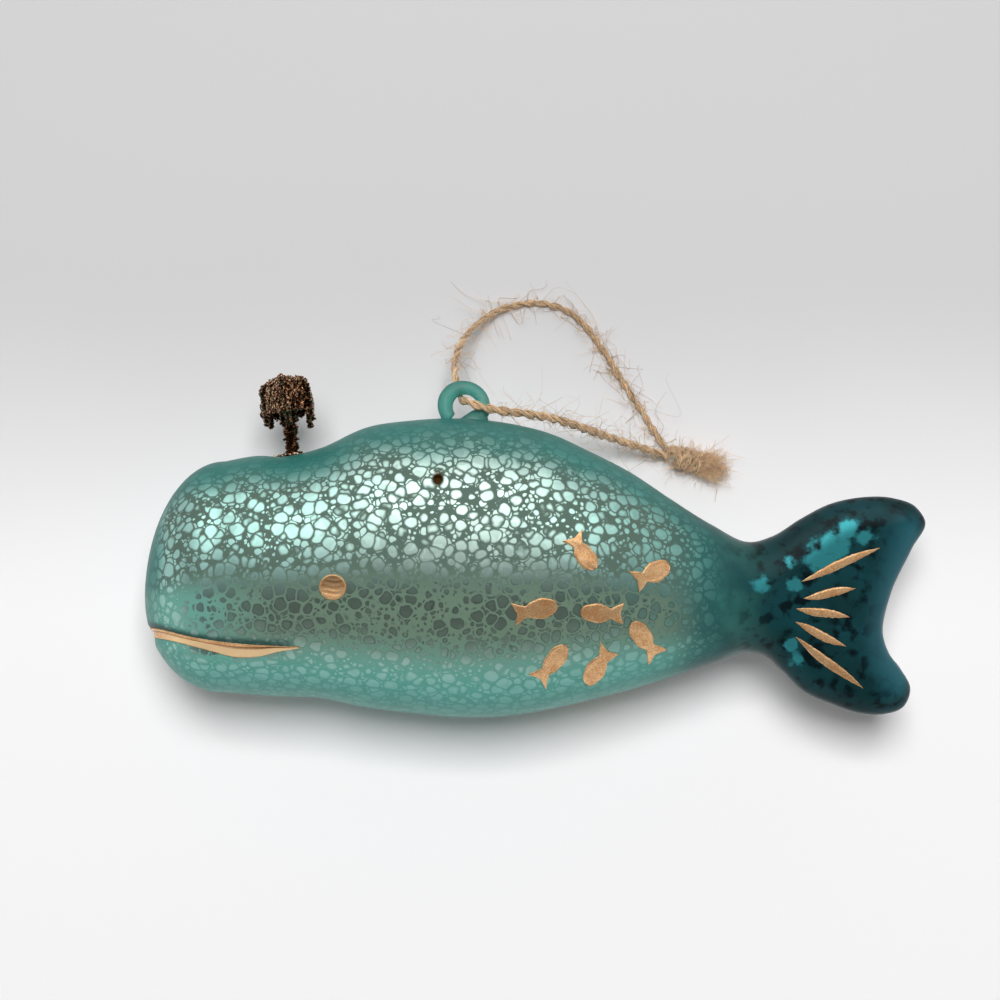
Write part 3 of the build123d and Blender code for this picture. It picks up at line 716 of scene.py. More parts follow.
def silvered_spots(nodes, place, cloud, rear, spacing):
    """Mask of the silvered spots and the tones of their middle layer.

    Each layer of finer spots only fills what the larger ones leave free. The spots swell and shrink
    with the cloud and shrink a little towards the rear.
    """
    speckle, spots, free, tones = speckle_group(), 0.0, 1.0, []
    for fineness, radius, gap in SPECKLE_LAYERS:
        reach = nodes.math("MULTIPLY_ADD", cloud, 0.60, radius - 0.30)
        reach = nodes.math("SUBTRACT", reach, nodes.times(rear, 0.05))
        layer = nodes.add("Group", {
            "Vector": place, "Scale": fineness / spacing, "Radius": reach, "Gap": gap, "Warp": SPECKLE_WARP,
        }, node_tree=speckle).outputs
        spots = nodes.math("MAXIMUM", spots, nodes.times(layer["Mask"], free))
        free = nodes.times(free, layer["Halo"])
        tones.append(layer["Tone"])
    return spots, tones[1]


def cyan_patches(nodes, place):
    """Mask of the bright patches on the fluke."""
    patch, mask = patch_group(), 0.0
    for x, y, reach in CYAN_PATCHES:
        middle = (*(fluke_point((x, y)) * MM), 0.0)
        spot = nodes.add("Group", {"Vector": place, "Middle": middle, "Reach": reach * MM}, node_tree=patch)
        mask = nodes.math("MAXIMUM", mask, spot.outputs["Mask"])
    return mask


def glass_material(settings):
    """Satin glass silvered in speckles: mint spots in a grey net, teal at the outline that is partly painted
    shade, petrol on the tail, with a painted highlight and painted light and shade on the flank.
    """
    material, nodes, shader = new_material("teal_glass")
    place = nodes.place()
    edge, tail, rear, low, lit, pale, trail, lip, rust = (
        nodes.mark(name) for name in ("edge", "tail", "rear", "low", "lit", "pale", "trail", "lip", "rust")
    )
    cloud = nodes.noise(place, scale=90.0, detail=3.0)
    grime = nodes.noise(place, scale=330.0, detail=6.0)
    cyan = cyan_patches(nodes, place)
    spots, tone = silvered_spots(nodes, place, cloud, rear, settings.speckle)

    wander = nodes.math("MULTIPLY_ADD", cloud, 0.22, -0.11)
    # Teal near the outline, partly the glass's own tint and partly painted shade of the outline, weaker where
    # the painted light lies
    outline_tint_and_shade = nodes.step(nodes.math("ADD", edge, wander), 0.60, 0.94)
    outline_tint_and_shade = nodes.times(outline_tint_and_shade, nodes.math("MULTIPLY_ADD", lit, -0.55, 1.0))
    # Belly's half of the flank above its lowest band, where the spots get painted shade
    band = nodes.math("SUBTRACT", low, lit)
    faint = nodes.times(spots, nodes.step(tail, 0.0, 0.6, 1.0, 0.0))
    shown = nodes.times(faint, nodes.step(edge, 0.62, 0.96, 1.0, 0.22))
    shown = nodes.times(shown, nodes.math("MULTIPLY_ADD", tone, 0.30, 0.70))
    rim = nodes.times(spots, nodes.math("SUBTRACT", 1.0, spots))
    rim = nodes.math("MINIMUM", nodes.times(rim, 2.6), nodes.times(band, faint))

    net = nodes.layered(
        settings.net,
        # Painted light: lighter net on the belly's half of the flank
        (low, BELLY_SIDE_LIGHT_NET),
        # Painted light on the lowest band of the flank and on the chin
        (lit, LIT_NET),
        # Net near the outline: teal tint, partly painted shade
        (outline_tint_and_shade, settings.teal),
        (nodes.step(tail, 0.0, 0.40), STOCK_NET),
        (nodes.step(tail, 0.45, 1.0), settings.petrol),
        (nodes.times(nodes.step(cloud, 0.42, 0.66), tail), CLOUDED_PETROL),
        (nodes.times(nodes.step(grime, 0.48, 0.64), nodes.step(tail, 0.4, 1.0)), GRIME),
    )
    silver = nodes.layered(
        settings.silver,
        # Painted highlight: paler spots over the bright middle of the upper flank
        (pale, PAINTED_HIGHLIGHT_SILVER),
        # Painted shade: darker spots on the belly's half above its lowest band
        (band, BELLY_SIDE_SHADE_SILVER),
        (nodes.times(rear, 0.75), REAR_SILVER),
        # Spots near the outline: teal tint, partly painted shade
        (outline_tint_and_shade, EDGE_TINT_AND_SHADE_SILVER),
        (nodes.step(tail, 0.1, 0.7), TAIL_SILVER),
    )
    base = nodes.layered(
        net,
        (shown, silver),
        (rim, SPOT_RIM),
        (trail, TRAIL_BLUE),
        (cyan, FLUKE_CYAN),
        # Painted shade: a dark line along the outline
        (nodes.step(edge, 0.985, 1.0, 0.0, 0.4), PAINTED_OUTLINE_SHADE),
        (nodes.times(lip, 0.9), LIP_SHADE),
        (rust, VENT_RUST),
    )
    metal = nodes.math("MAXIMUM", nodes.times(shown, 1.2), nodes.times(cyan, 0.6))
    bare = nodes.math("SUBTRACT", 0.92, nodes.math("MAXIMUM", lip, rust))
    nodes.feed(shader, {
        "Base Color": base,
        "Metallic": nodes.math("MINIMUM", metal, bare),
        "Roughness": nodes.step(tail, 0.2, 0.9, 0.40, 0.30),
        "Specular IOR Level": 0.10,
        "Coat Weight": 0.02,
        "Coat Roughness": 0.3,
    })
    return material


def frosted_material():
    """Frosted teal glass of the hanging ring."""
    material, nodes, shader = new_material("ring_glass")
    cloud = nodes.noise(nodes.place(), scale=400.0, detail=3.0)
    deep, pale = RING_TINTS
    nodes.feed(shader, {
        "Base Color": nodes.layered(deep, (cloud, pale)),
        "Roughness": nodes.step(cloud, 0.3, 0.7, 0.50, 0.64),
        "Specular IOR Level": 0.25,
        "Transmission Weight": 0.7,
        "IOR": 1.47,
    })
    return material


def gold_material(settings):
    """Grainy gold leaf: metal whose tone and height change from grain to grain."""
    material, nodes, shader = new_material("gilt")
    place = nodes.place()
    grain = nodes.noise(place, scale=2600.0, detail=3.0)
    patch = nodes.noise(place, scale=330.0, detail=2.0)
    painted_wall_light, crease = nodes.mark("painted_wall_light"), nodes.mark("crease")
    tone = nodes.math("ADD", nodes.times(grain, 0.6), nodes.times(patch, 0.4))
    bump = nodes.add("Bump", {"Strength": 0.45, "Distance": 0.00012, "Height": grain})
    nodes.feed(shader, {
        "Base Color": nodes.layered(
            WORN_GOLD,
            (nodes.step(tone, 0.34, 0.66), settings.gold),
            # Painted light on the mouth's lower wall
            (painted_wall_light, PAINTED_LIT_GOLD),
            # Painted shade in the mouth's crease and over the eye's upper half
            (nodes.times(crease, 0.85), PAINTED_CREASE_SHADE),
        ),
        "Roughness": nodes.step(tone, 0.3, 0.7, 0.52, 0.30),
        "Metallic": nodes.math("MULTIPLY_ADD", painted_wall_light, -0.30, 0.72),
        "Normal": bump.outputs[0],
    })
    return material


def wire_material(settings):
    """Bronze wire whose tone changes along it."""
    material, nodes, shader = new_material("bronze_wire")
    grain = nodes.noise(nodes.place(), scale=2100.0, detail=2.0)
    nodes.feed(shader, {
        "Base Color": nodes.layered(settings.bronze, (nodes.step(grain, 0.49, 0.62), BRIGHT_BRONZE)),
        "Roughness": nodes.step(grain, 0.3, 0.7, 0.12, 0.28),
        "Metallic": 1.0,
    })
    return material


def jute_material(settings):
    """Jute fibre: straw and brown streaks, dull and a little sheen."""
    material, nodes, shader = new_material("jute")
    fibre = nodes.noise(nodes.place(), scale=1400.0, detail=3.0)
    tone = nodes.math("ADD", nodes.times(fibre, 0.7), nodes.times(nodes.mark("strand"), 0.45))
    dark = [0.42 * part for part in settings.jute]
    pale = [min(1.0, 1.35 * part + 0.04) for part in settings.jute]
    nodes.feed(shader, {
        "Base Color": nodes.layered(
            dark,
            (nodes.step(tone, 0.28, 0.62), settings.jute),
            (nodes.step(tone, 0.58, 0.85), pale),
        ),
        "Roughness": 0.75,
        "Sheen Weight": 0.25,
    })
    return material


def glue_material():
    """Clear yellowed glue with a few clouds."""
    material, nodes, shader = new_material("glue")
    cloud = nodes.noise(nodes.place(), scale=700.0, detail=2.0)
    deep, pale = GLUE_TINTS
    nodes.feed(shader, {
        "Base Color": nodes.layered(deep, (cloud, pale)),
        "Roughness": nodes.step(cloud, 0.3, 0.7, 0.2, 0.4),
    })
    return material


def floor_material(settings):
    """Pale floor: dull, with painted shade that greys it behind the back of the whale."""
    material, nodes, shader = new_material("floor")
    place = nodes.place()
    cloud = nodes.noise(place, scale=9.0, detail=2.0)
    wavy = nodes.math("MULTIPLY_ADD", cloud, 0.02, nodes.add("SeparateXYZ", {0: place}).outputs["Y"])
    # Painted shade: greyer floor behind the back of the whale
    far = [FAR_FLOOR_SHADE * part for part in settings.floor]
    nodes.feed(shader, {
        "Base Color": nodes.layered(settings.floor, (nodes.step(wavy, -0.01, 0.085), far)),
        "Roughness": 0.8,
    })
    return material


def whale_grid():
    """Grid of the whole whale: rings from the nose to the fluke's trailing edge.

    On the body a ring at x is y = widest + reach * sin(a), z = half * cos(a). On the fluke the rings
    are the lines of a patch between its four edges, lifted by the pillow height. Returned with the
    angle of every column and the share of the fluke that every ring has reached.
    """
    snout = NOSE_X + NOSE_DEPTH * (1 - np.cos(np.linspace(0, np.pi / 2, SNOUT_ROWS)))
    cup_rows, vent_rows = (CUP_POINT[0], 6, 0.8), (VENT_X, 1.6, 2.6)
    trunk = spaced(TRUNK_ROWS, NOSE_X + NOSE_DEPTH, FLUKE_X, cup_rows, vent_rows)
    vent_columns, mouth_columns = (math.radians(34), 0.045, 2.5), (math.radians(-34), 0.16, 1.4)
    left = spaced(LEFT_COLUMNS, -np.pi / 2, np.pi / 2, vent_columns, mouth_columns)
    right = np.linspace(np.pi / 2, 3 * np.pi / 2, RIGHT_COLUMNS)[1:-1]
    angle = np.concatenate([left, right])
    rise, side = np.sin(angle), np.cos(angle)

    x = np.concatenate([snout, trunk[1:]])[:, None]
    back, belly, half = body_lines(x)
    widest = belly + WIDEST_SHARE * (back - belly)
    y = widest + np.where(rise > 0, back - widest, widest - belly) * rise
    body = np.stack(np.broadcast_arrays(x, y, MID_Z + half * side), -1)

    share = np.sin(np.linspace(0, np.pi / 2, FLUKE_ROWS))[1:, None]
    reached = np.concatenate([0 * x, share])
    climb = WIDEST_SHARE + np.where(rise > 0, 1 - WIDEST_SHARE, WIDEST_SHARE) * rise
    high = fluke_edge(share, "back", "upper tip")
    deep = fluke_edge(share, "belly", "lower tip")
    end = fluke_edge(climb, "lower tip", "upper tip")
    share, climb = share[:, :, None], climb[None, :, None]
    low_tip, high_tip = fluke_edge(np.array((0.0, 1.0)), "lower tip", "upper tip")
    tips = low_tip + (high_tip - low_tip) * climb
    plan = share * end + (1 - climb) * deep + climb * high - share * tips
    pillow = fluke_height(plan[..., 0], plan[..., 1])
    bulge = smooth_line(plan[..., 0] - FLUKE_X, *zip(*FLUKE_HALVES)) * np.abs(side)
    blend = ease(0, FLUKE_BLEND, plan[..., 0] - FLUKE_X)
    height = (bulge + (pillow - bulge) * blend) * np.sign(np.round(side, 9))
    height[-1] = 0
    fluke = np.concatenate([plan, MID_Z + height[..., None]], -1)
    return np.concatenate([body, fluke]), angle, reached


def glass_marks(points, angle, share):
    """Masks from 0 to 1 over the whale's grid, which place the colours of the glass.

    edge nears 1 at the outline and the nose and also places painted shade there, tail and rear rise towards
    the fluke, low is the belly's half of the flank, which gets painted light in the net and painted shade in
    the spots, lit the painted light on its last band and the chin, pale the painted highlight on the
    brightest spots, trail the band along the trailing edge, lip the painted shade over the mouth and rust the
    ring round the vent.
    """
    x, y, z = np.moveaxis(points, -1, 0)
    rise = np.broadcast_to(np.sin(angle), x.shape)
    edge = np.abs(rise)
    nose = 1 - ease(0, NOSE_DEPTH, x - NOSE_X)
    tail = ease(*TAIL_FADE, x - FLUKE_X)
    low = ease(0.1, -0.25, rise)
    chin = ease(*CHIN_FADE, x - NOSE_X) * low
    over = y - mouth_edges(x)[0]
    vent = np.hypot(x - VENT_X, 0.8 * (y - VENT_Y - 0.3))
    return {
        "edge": np.maximum(edge, nose * 0.96),
        "tail": tail,
        "rear": ease(*REAR_FADE, x),
        "low": low,
        "lit": np.maximum(ease(-0.40, -0.85, rise) * (1 - tail), 0.8 * chin),
        # Painted highlight over the middle of the upper flank
        "pale": bell(RING_CENTRE[0], PAINTED_HIGHLIGHT_REACH, x) * (1 - low),
        "trail": 0.9 * ease(0.72, 0.96, share) * (1 - ease(0.75, 0.95, edge)),
        "lip": ease(-0.5, 0, over) * (1 - ease(0.7, 2.2, over)) * ease(0, 4, NOSE_X + MOUTH_LENGTH - x),
        "rust": np.where(z > MID_Z, 1 - ease(0.6 * VENT_RADIUS, 1.7 * VENT_RADIUS, vent), 0),
    }


def carve(points):
    """Presses the mouth, the blowhole cup and the vent into the whale's grid."""
    normals = grid_normals(points, closed=True)
    outwards = np.sign(np.sum(normals * (points - points.mean((0, 1))), -1).mean())
    depth = mouth_depth(points[..., 0], points[..., 1], MOUTH_UNDERCUT)
    points = points - outwards * normals * depth[..., None]
    reach = points - CUP_CENTRE
    lift = reach @ SPOUT_AXIS
    aside = np.sum(reach**2, -1) - lift**2
    floor = -np.sqrt(np.clip(CUP_RADIUS**2 - aside, 0, None))
    sunk = np.where((aside < CUP_RADIUS**2) & (lift < CUP_RADIUS), np.minimum(lift, floor), lift)
    points = points + (sunk - lift)[..., None] * SPOUT_AXIS
    off = np.hypot(points[..., 0] - VENT_X, points[..., 1] - VENT_Y)
    hole = VENT_DEPTH * (1 - ease(0.7 * VENT_RADIUS, 1.15 * VENT_RADIUS, off))
    points[..., 2] -= np.where(points[..., 2] > MID_Z, hole, 0)
    return points


def film(surface, thickness, hub=(0, 0, MID_Z), depth=0.0):
    """Closed film over a patch (rows, columns, 3) that is pressed in by a depth and faces away from a hub.

    Its columns run over its top and back along its underside, which is sunk below the glass.
    """
    size = surface.shape[:2]
    normals = grid_normals(surface, closed=False)
    normals = normals * np.sign(np.sum(normals * (surface - hub), -1).mean())
    surface = surface - normals * np.broadcast_to(depth, size)[..., None]
    top = surface + normals * np.broadcast_to(thickness, size)[..., None]
    under = surface - normals * FILM_SINK
    middle = (top[[0, -1]] + under[[0, -1]]) / 2
    shell = np.concatenate([top, under[:, ::-1]], 1)
    ends = np.concatenate([middle, middle[:, ::-1]], 1)
    return np.concatenate([ends[:1], shell, ends[1:]])[None]


def flip(shell):
    """The same shell on the other flank."""
    return shell * (1, 1, -1) + (0, 0, 2 * MID_Z)


def laid(u, v, x, y, heading, height):
    """Patch u along a heading and v across it from x, y, laid on the glass by a function of its height."""
    turn = math.radians(heading)
    px = x + u * math.cos(turn) - v * math.sin(turn)
    py = y + u * math.sin(turn) + v * math.cos(turn)
    return np.stack([px, py, MID_Z + height(px, py)], -1)


def fish_film(x, y, heading, thickness, random):
    """Small fish: rows along its length, a lens-shaped body, a thin neck and a notched tail."""
    s, c = np.linspace(0, 1, FISH_ROWS)[:, None], np.linspace(-1, 1, FISH_COLUMNS)[None]
    long = FISH_LENGTH * random.uniform(0.94, 1.06)
    wide = FISH_WIDTH * random.uniform(0.92, 1.08)
    body = np.sqrt(np.clip(1 - (np.abs(s - 0.37) / 0.37) ** 2.1, 0, 1))
    tail = 0.55 + 0.66 * np.clip((s - 0.70) / 0.30, 0, 1) ** 1.15
    join = ease(0.60, 0.76, s)
    wobble = 1 + 0.04 * np.sin(17 * s + random.uniform(0, 6))
    half = wide / 2 * (body * (1 - join) + tail * join) * wobble + 0.02
    notch = 0.09 * long * ease(0.74, 1.0, s) * (1 - np.abs(c))
    u = long * (0.44 - s) + notch
    v = half * c + 0.25 * np.sin(3 * s) * random.uniform(-1, 1)
    rim = 1 + 0.5 * bell(0.86, 0.1, np.abs(c)) + 0.2 * np.sin(2 * c + 9 * s)
    relief = thickness * rim * (1 - ease(0.93, 1.0, np.abs(c)) * 0.9)
    return film(laid(u, v, x, y, heading, body_height), relief)


def stroke_film(x, y, length, heading, thickness, random):
    """Brush stroke that tapers to both ends, with an uneven edge."""
    s, c = np.linspace(-1, 1, STROKE_ROWS)[:, None], np.linspace(-1, 1, STROKE_COLUMNS)[None]
    rough = crinkle(random, 1, STROKE_ROWS, knots=34, size=0.05)[0]
    half = STROKE_WIDTH / 2 * (1 - np.abs(s) ** 2.0) * (1 + 0.9 * rough[:, :1]) + 0.04
    u = length / 2 * s
    v = half * c + 0.6 * rough[:, 1:2] + 0.15 * np.sin(3 * s + random.uniform(0, 6))
    relief = thickness * (1 - ease(0.7, 1.0, np.abs(c)) * 0.8)
    return film(laid(u, v, x, y, heading, fluke_height), relief)


def eye_film(thickness):
    """Dished disc: a raised rim round a hollow, with dark streaks and painted shade over its upper half as
    its mark.

    Its relief is given for a film of EYE_FILM and grows with the film.
    """
    turn = np.linspace(0, 2 * np.pi, EYE_COLUMNS, endpoint=False)[None]
    share = np.concatenate([[0.02], np.linspace(0.06, 1, EYE_ROWS)])[:, None]
    x = EYE_X + EYE_RADIUS * share * np.cos(turn)
    y = EYE_Y + EYE_FLATTENING * EYE_RADIUS * share * np.sin(turn)
    surface = np.stack([x, y, MID_Z + body_height(x, y)], -1)
    dish = 0.15 + 0.55 * share**2 * (1 - ease(0.90, 1.0, share) * 0.9)
    streaks = np.sin(6.0 * (y - EYE_Y) + 1.2 * np.sin(1.1 * x)) * (1 - share**2)
    top = surface + (thickness / EYE_FILM * (dish + 0.03 * streaks))[..., None] * TO_TOP
    under = surface - FILM_SINK * TO_TOP
    middle = [np.broadcast_to(part[0].mean(0), part[0].shape)[None] for part in (top, under)]
    # Painted shade over the upper half of the hollow, streaked, faded at the rim
    shade = (0.45 + 0.4 * streaks) * ease(-0.6, 0.9, y - EYE_Y) * (1 - ease(0.80, 0.95, share))
    shade = np.pad(shade, ((1, len(share) + 1), (0, 0)))
    return np.concatenate([middle[0], top, under[::-1], middle[1]])[None], {"crease": shade}


def mouth_film(thickness):
    """Gold in the mouth, from corner to corner round the snout: x - front grows as q^2, z follows the flank.

    Returned with its marks: painted light on the lower wall, painted shade along the crease.
    """
    q, c = np.linspace(-1, 1, MOUTH_ROWS)[:, None], np.linspace(0, 1, MOUTH_COLUMNS)[None]
    corner = NOSE_X + MOUTH_LENGTH
    upper, lower = mouth_edges(NOSE_X + MOUTH_LENGTH * q**2)
    y = lower + (upper - lower) * c
    drop = np.clip((up(NOSE_SHARE) - y) / (up(NOSE_SHARE) - up(STATIONS[0, 2])), -1, 1)
    front = NOSE_X + NOSE_DEPTH * (1 - arch(drop))
    x = front + (corner - front) * q**2
    surface = np.stack([x, y, MID_Z + np.sign(q) * body_height(x, y)], -1)
    relief = thickness * (1 - 0.8 * ease(0.9, 1.0, np.abs(2 * c - 1)))
    shell = film(surface, relief, (0, up(NOSE_SHARE), MID_Z), mouth_depth(x, y))
    # Painted light on the lower wall and painted shade along the crease
    marks = {
        "painted_wall_light": ease(0.04, 0.14, c) * (1 - ease(0.50, 0.60, c)) * ease(0.25, 0.45, np.abs(q)),
        "crease": bell(MOUTH_CREASE, 0.07, c) * np.ones_like(q),
    }
    return shell, {name: np.pad(mark, ((1, 1), (0, mark.shape[1]))) for name, mark in marks.items()}


def ring_shell():
    """Curled rod, thicker in its curl, with a round free end and a foot that spreads onto the back.

    The foot's sections are ellipses along x, which swell and close like an arch.
    """
    t = np.linspace(0, 1, RING_STEPS)
    swell = RING_SWELL * bell(0.72, 0.22, t)
    out = circle(np.radians(RING_START + RING_SWEEP * t), TO_TAIL, TO_BACK)
    path = RING_CENTRE + (RING_RADIUS + swell)[:, None] * out
    radius = (RING_ROD / 2 + swell) * arch(np.clip((t - 1 + RING_TIP) / RING_TIP, 0, 1))
    rod = tubes(path[None], radius, RING_SIDES, TO_TOP)

    s = np.linspace(-1, 1, FOOT_ROWS)[:, None]
    turn = np.linspace(0, 2 * np.pi, FOOT_COLUMNS, endpoint=False)
    rise = 0.3 + 1.6 * arch(s) + 2.4 * ease(-1.0, 0.5, s) * (1 - ease(0.55, 1.0, s))
    wide = 0.3 + 1.75 * arch(s)
    middle = np.array((RING_CENTRE[0] + FOOT_BEHIND, up(1.0) - FOOT_SINK, MID_Z))
    line = (middle + FOOT_REACH * s * TO_TAIL)[:, None]
    foot = line + circle(turn, rise[..., None] * TO_BACK, wide[..., None] * TO_TOP)
    ends = np.repeat(line[[0, -1]], FOOT_COLUMNS, axis=1)
    return [rod, np.concatenate([ends[:1], foot, ends[1:]])[None]]


def crinkle(random, number, steps, knots, size):
    """Smooth random wander (number, steps, 3): noise at a few knots, joined by smooth lines."""
    values = random.normal(0, size, (knots, number * 3))
    places = np.linspace(0, 1, steps) * (knots - 1)
    at = np.clip(places.astype(int), 0, knots - 2)
    t = ease(0, 1, places - at)[:, None]
    wander = values[at] * (1 - t) + values[at + 1] * t
    return wander.reshape(steps, number, 3).transpose(1, 0, 2)


def wound(path, random, wires, turns, radius, wire, loose):
    """Crinkled wires wound round a path: helices of uneven radius and pitch."""
    steps = len(path)
    heading = unit(np.gradient(path, axis=0))
    first = unit(np.cross(heading, SPOUT_ACROSS + 0.31 * SPOUT_SIDE + 0.2 * SPOUT_AXIS))
    second = np.cross(heading, first)
    share = np.linspace(0, 1, steps)
    phase = 2 * np.pi * (share * turns)[None] + 2 * np.pi * np.arange(wires)[:, None] / wires
    phase = phase + crinkle(random, wires, steps, int(turns), 0.5)[..., 0]
    size = radius * (1 + crinkle(random, wires, steps, int(3 * turns), 0.24)[..., 1])
    paths = path + circle(phase, first, second) * size[..., None]
    paths = paths + crinkle(random, wires, steps, int(4 * turns), loose)
    return tubes(paths, wire / 2, WIRE_SIDES, heading)


def arm_path(number):
    """Path of one arm: up beside the core, over a half circle and down."""
    kind = number % 2
    rise, reach, drop = ARM_RISES[kind], ARM_REACHES[kind], ARM_DROPS[kind]
    bend = (reach - ARM_FOOT) / 2
    length = np.linspace(0, rise + np.pi * bend + drop, ARM_STEPS)
    turn = np.clip((length - rise) / bend, 0, np.pi)
    out = ARM_FOOT + bend * (1 - np.cos(turn))
    high = np.minimum(length, rise) + bend * np.sin(turn) - np.maximum(length - rise - np.pi * bend, 0)
    outwards = circle(2 * np.pi * (number + 0.5) / ARM_COUNT, SPOUT_SIDE, SPOUT_ACROSS)
    return STEM_END + outwards * out[:, None] + SPOUT_AXIS * high[:, None]


def dome_wires(number, random, wire):
    """Tangle over one arm's share of the dome: wires that zigzag between its crown and its rim."""
    share = np.linspace(0, 1, ARM_STEPS)[None]
    start = random.uniform(0, 1, (DOME_WIRES, 1))
    swing = np.abs(((share * 7 + start) % 1) * 2 - 1)
    fall = np.radians(8 + 96 * swing)
    turn = 2 * np.pi * (number + (share + 0.15 * np.sin(31 * share + 9 * start))) / ARM_COUNT
    out = DOME_RADIUS * np.abs(np.sin(fall)) ** 0.75
    high = DOME_FOOT + DOME_RISE * np.sign(np.cos(fall)) * np.abs(np.cos(fall)) ** 0.8
    paths = STEM_END + circle(turn, SPOUT_SIDE, SPOUT_ACROSS) * out[..., None] + SPOUT_AXIS * high[..., None]
    paths = paths + crinkle(random, DOME_WIRES, ARM_STEPS, knots=110, size=0.30)
    return tubes(paths, wire / 2, WIRE_SIDES, unit(np.array((0.31, 0.2, 0.93))))


def pad_path():
    """Spiral over the cup's floor, risen a little in the middle."""
    share = np.sqrt(np.linspace(0, 1, PAD_STEPS))
    out = 0.46 * CUP_DIAMETER * share
    floor = CUP_RADIUS - CUP_DEPTH - np.sqrt(CUP_RADIUS**2 - out**2)
    high = np.maximum(floor + 0.35, -PAD_SINK + 0.15)
    flat = circle(2 * np.pi * PAD_TURNS * share, SPOUT_SIDE, SPOUT_ACROSS)
    return CUP_POINT + flat * out[:, None] + SPOUT_AXIS * high[:, None]


def twine_route(diameter):
    """Control points of the twine's route in metres, as the frame has it."""
    out = circle(math.radians(TWINE_WRAP), TO_TAIL, TO_BACK) * MM
    reach = RING_ROD / 2 + diameter / MM / 2 + TWINE_GAP
    over = TO_TOP * MM * reach
    bar = RING_CENTRE * MM + out * RING_RADIUS
    return [
        (0.0324, 0.0239, 0.0032), (0.0231, 0.0263, 0.0070), (0.0140, 0.0283, 0.0145),
        (0.0070, 0.0298, 0.0215), (0.0000, 0.0306, 0.0268), (-0.0070, 0.0309, 0.0302),
        (-0.0134, 0.0319, 0.0314), bar - out * reach + over, bar - out * reach - over,
        bar + out * 1.6 * reach - 1.5 * over, (-0.0190, 0.0470, 0.0165), (-0.0158, 0.0548, 0.0070),
        (-0.0090, 0.0608, 0.0020), (0.0005, 0.0630, 0.0011), (0.0095, 0.0605, 0.00105),
        (0.0162, 0.0522, 0.00115), (0.0220, 0.0424, 0.00105), (0.0276, 0.0334, 0.0013),
        (0.0314, 0.0269, 0.0026), (0.0334, 0.0246, 0.0033),
    ]


def spline_points(route):
    """Points of the smooth line that has the route as its control points, in metres."""
    curve = bpy.data.curves.new("twine_route", "CURVE")
    curve.dimensions = "3D"
    spline = curve.splines.new("NURBS")
    spline.points.add(len(route) - 1)
    for point, place in zip(spline.points, route):
        point.co = (*place, 1.0)
    spline.order_u = 3
    spline.use_endpoint_u = True
    spline.resolution_u = 24
    holder = bpy.data.objects.new("twine_route", curve)
    bpy.context.scene.collection.objects.link(holder)
    mesh = bpy.data.meshes.new_from_object(holder)
    points = np.zeros(len(mesh.vertices) * 3)
    mesh.vertices.foreach_get("co", points)
    bpy.data.objects.remove(holder)
    bpy.data.curves.remove(curve)
    bpy.data.meshes.remove(mesh)
    return points.reshape(-1, 3)


def resample(points):
    """Points at even steps along a dense line, and how far along it each one is."""
    lengths = distances(points)
    places = np.linspace(0, lengths[-1], max(8, int(lengths[-1] / TWINE_STEP)))
    return np.stack([np.interp(places, lengths, column) for column in points.T], -1), places


def carried_frames(path):
    """Heading of a path and two directions square to it, carried along it without twisting."""
    heading = unit(np.gradient(path, axis=0))
    first = np.zeros_like(path)
    first[0] = unit(np.cross(heading[0], (0.3, 0.2, 1.0)))
    for step in range(1, len(path)):
        first[step] = unit(first[step - 1] - heading[step] * (first[step - 1] @ heading[step]))
    return heading, first, np.cross(heading, first)


def yarn(path, places, diameter, lay, random):
    """Two plies twisted round a path, each of several bundles of fibre twisted the other way.

    Returned with the tone of every strand.
    """
    steps = len(path)
    heading, first, second = carried_frames(path)
    diameter = np.broadcast_to(diameter, steps)
    ply_radius, bundle_radius = 0.20 * diameter, 0.068 * diameter
    paths, tones = [], []
    for ply in (0, 1):
        turn = 2 * np.pi * places / lay + np.pi * ply
        centre = path + ply_radius[:, None] * circle(turn, first, second)
        for bundle in range(PLY_BUNDLES):
            spin = turn + 2 * np.pi * bundle / PLY_BUNDLES - 2 * np.pi * places / (1.9 * lay)
            size = ply_radius * (1 + 0.12 * np.sin(places * random.uniform(0.5, 1.4) + random.uniform(0, 6)))
            paths.append(centre + size[:, None] * circle(spin, first, second))
            tones.append(random.uniform(0, 1))
    number = len(paths)
    paths = np.array(paths) + crinkle(random, number, steps, max(3, steps // 7), 0.02 * diameter.mean())
    uneven = 1 + 0.25 * crinkle(random, number, steps, max(3, steps // 12), 1.0)[..., 0]
    shells = tubes(paths, bundle_radius * np.maximum(uneven, 0.4), BUNDLE_SIDES, heading)
    return shells, np.broadcast_to(np.array(tones)[:, None, None], shells.shape[:3])


def hairs(random, starts, ways, lengths, thick, bend, inwards, tones):
    """Stray fibres: each a curve start + L * (t * way + t^2 * (bow + inwards) + t * curl), thin to its tip.

    Returned with the tone of every fibre.
    """
    number = len(starts)
    t = np.linspace(0, 1, FIBRE_STEPS)[None, :, None]
    bow = random.normal(0, bend, (number, 1, 3)) + np.broadcast_to(inwards, (number, 3))[:, None]
    curl = random.normal(0, 0.45 * bend, (number, 1, 3)) * np.sin(random.uniform(3, 9, (number, 1, 1)) * t)
    paths = starts[:, None] + lengths[:, None, None] * (t * ways[:, None] + t**2 * bow + t * curl)
    paths[..., 2] = np.maximum(paths[..., 2], FIBRE_FLOOR)
    radii = thick[:, None] * (1 - 0.6 * t[..., 0])
    shells = tubes(paths, radii, FIBRE_SIDES, unit(random.normal(0, 1, (number, 1, 3))))
    return shells, np.broadcast_to(random.uniform(*tones, number)[:, None, None], shells.shape[:3])


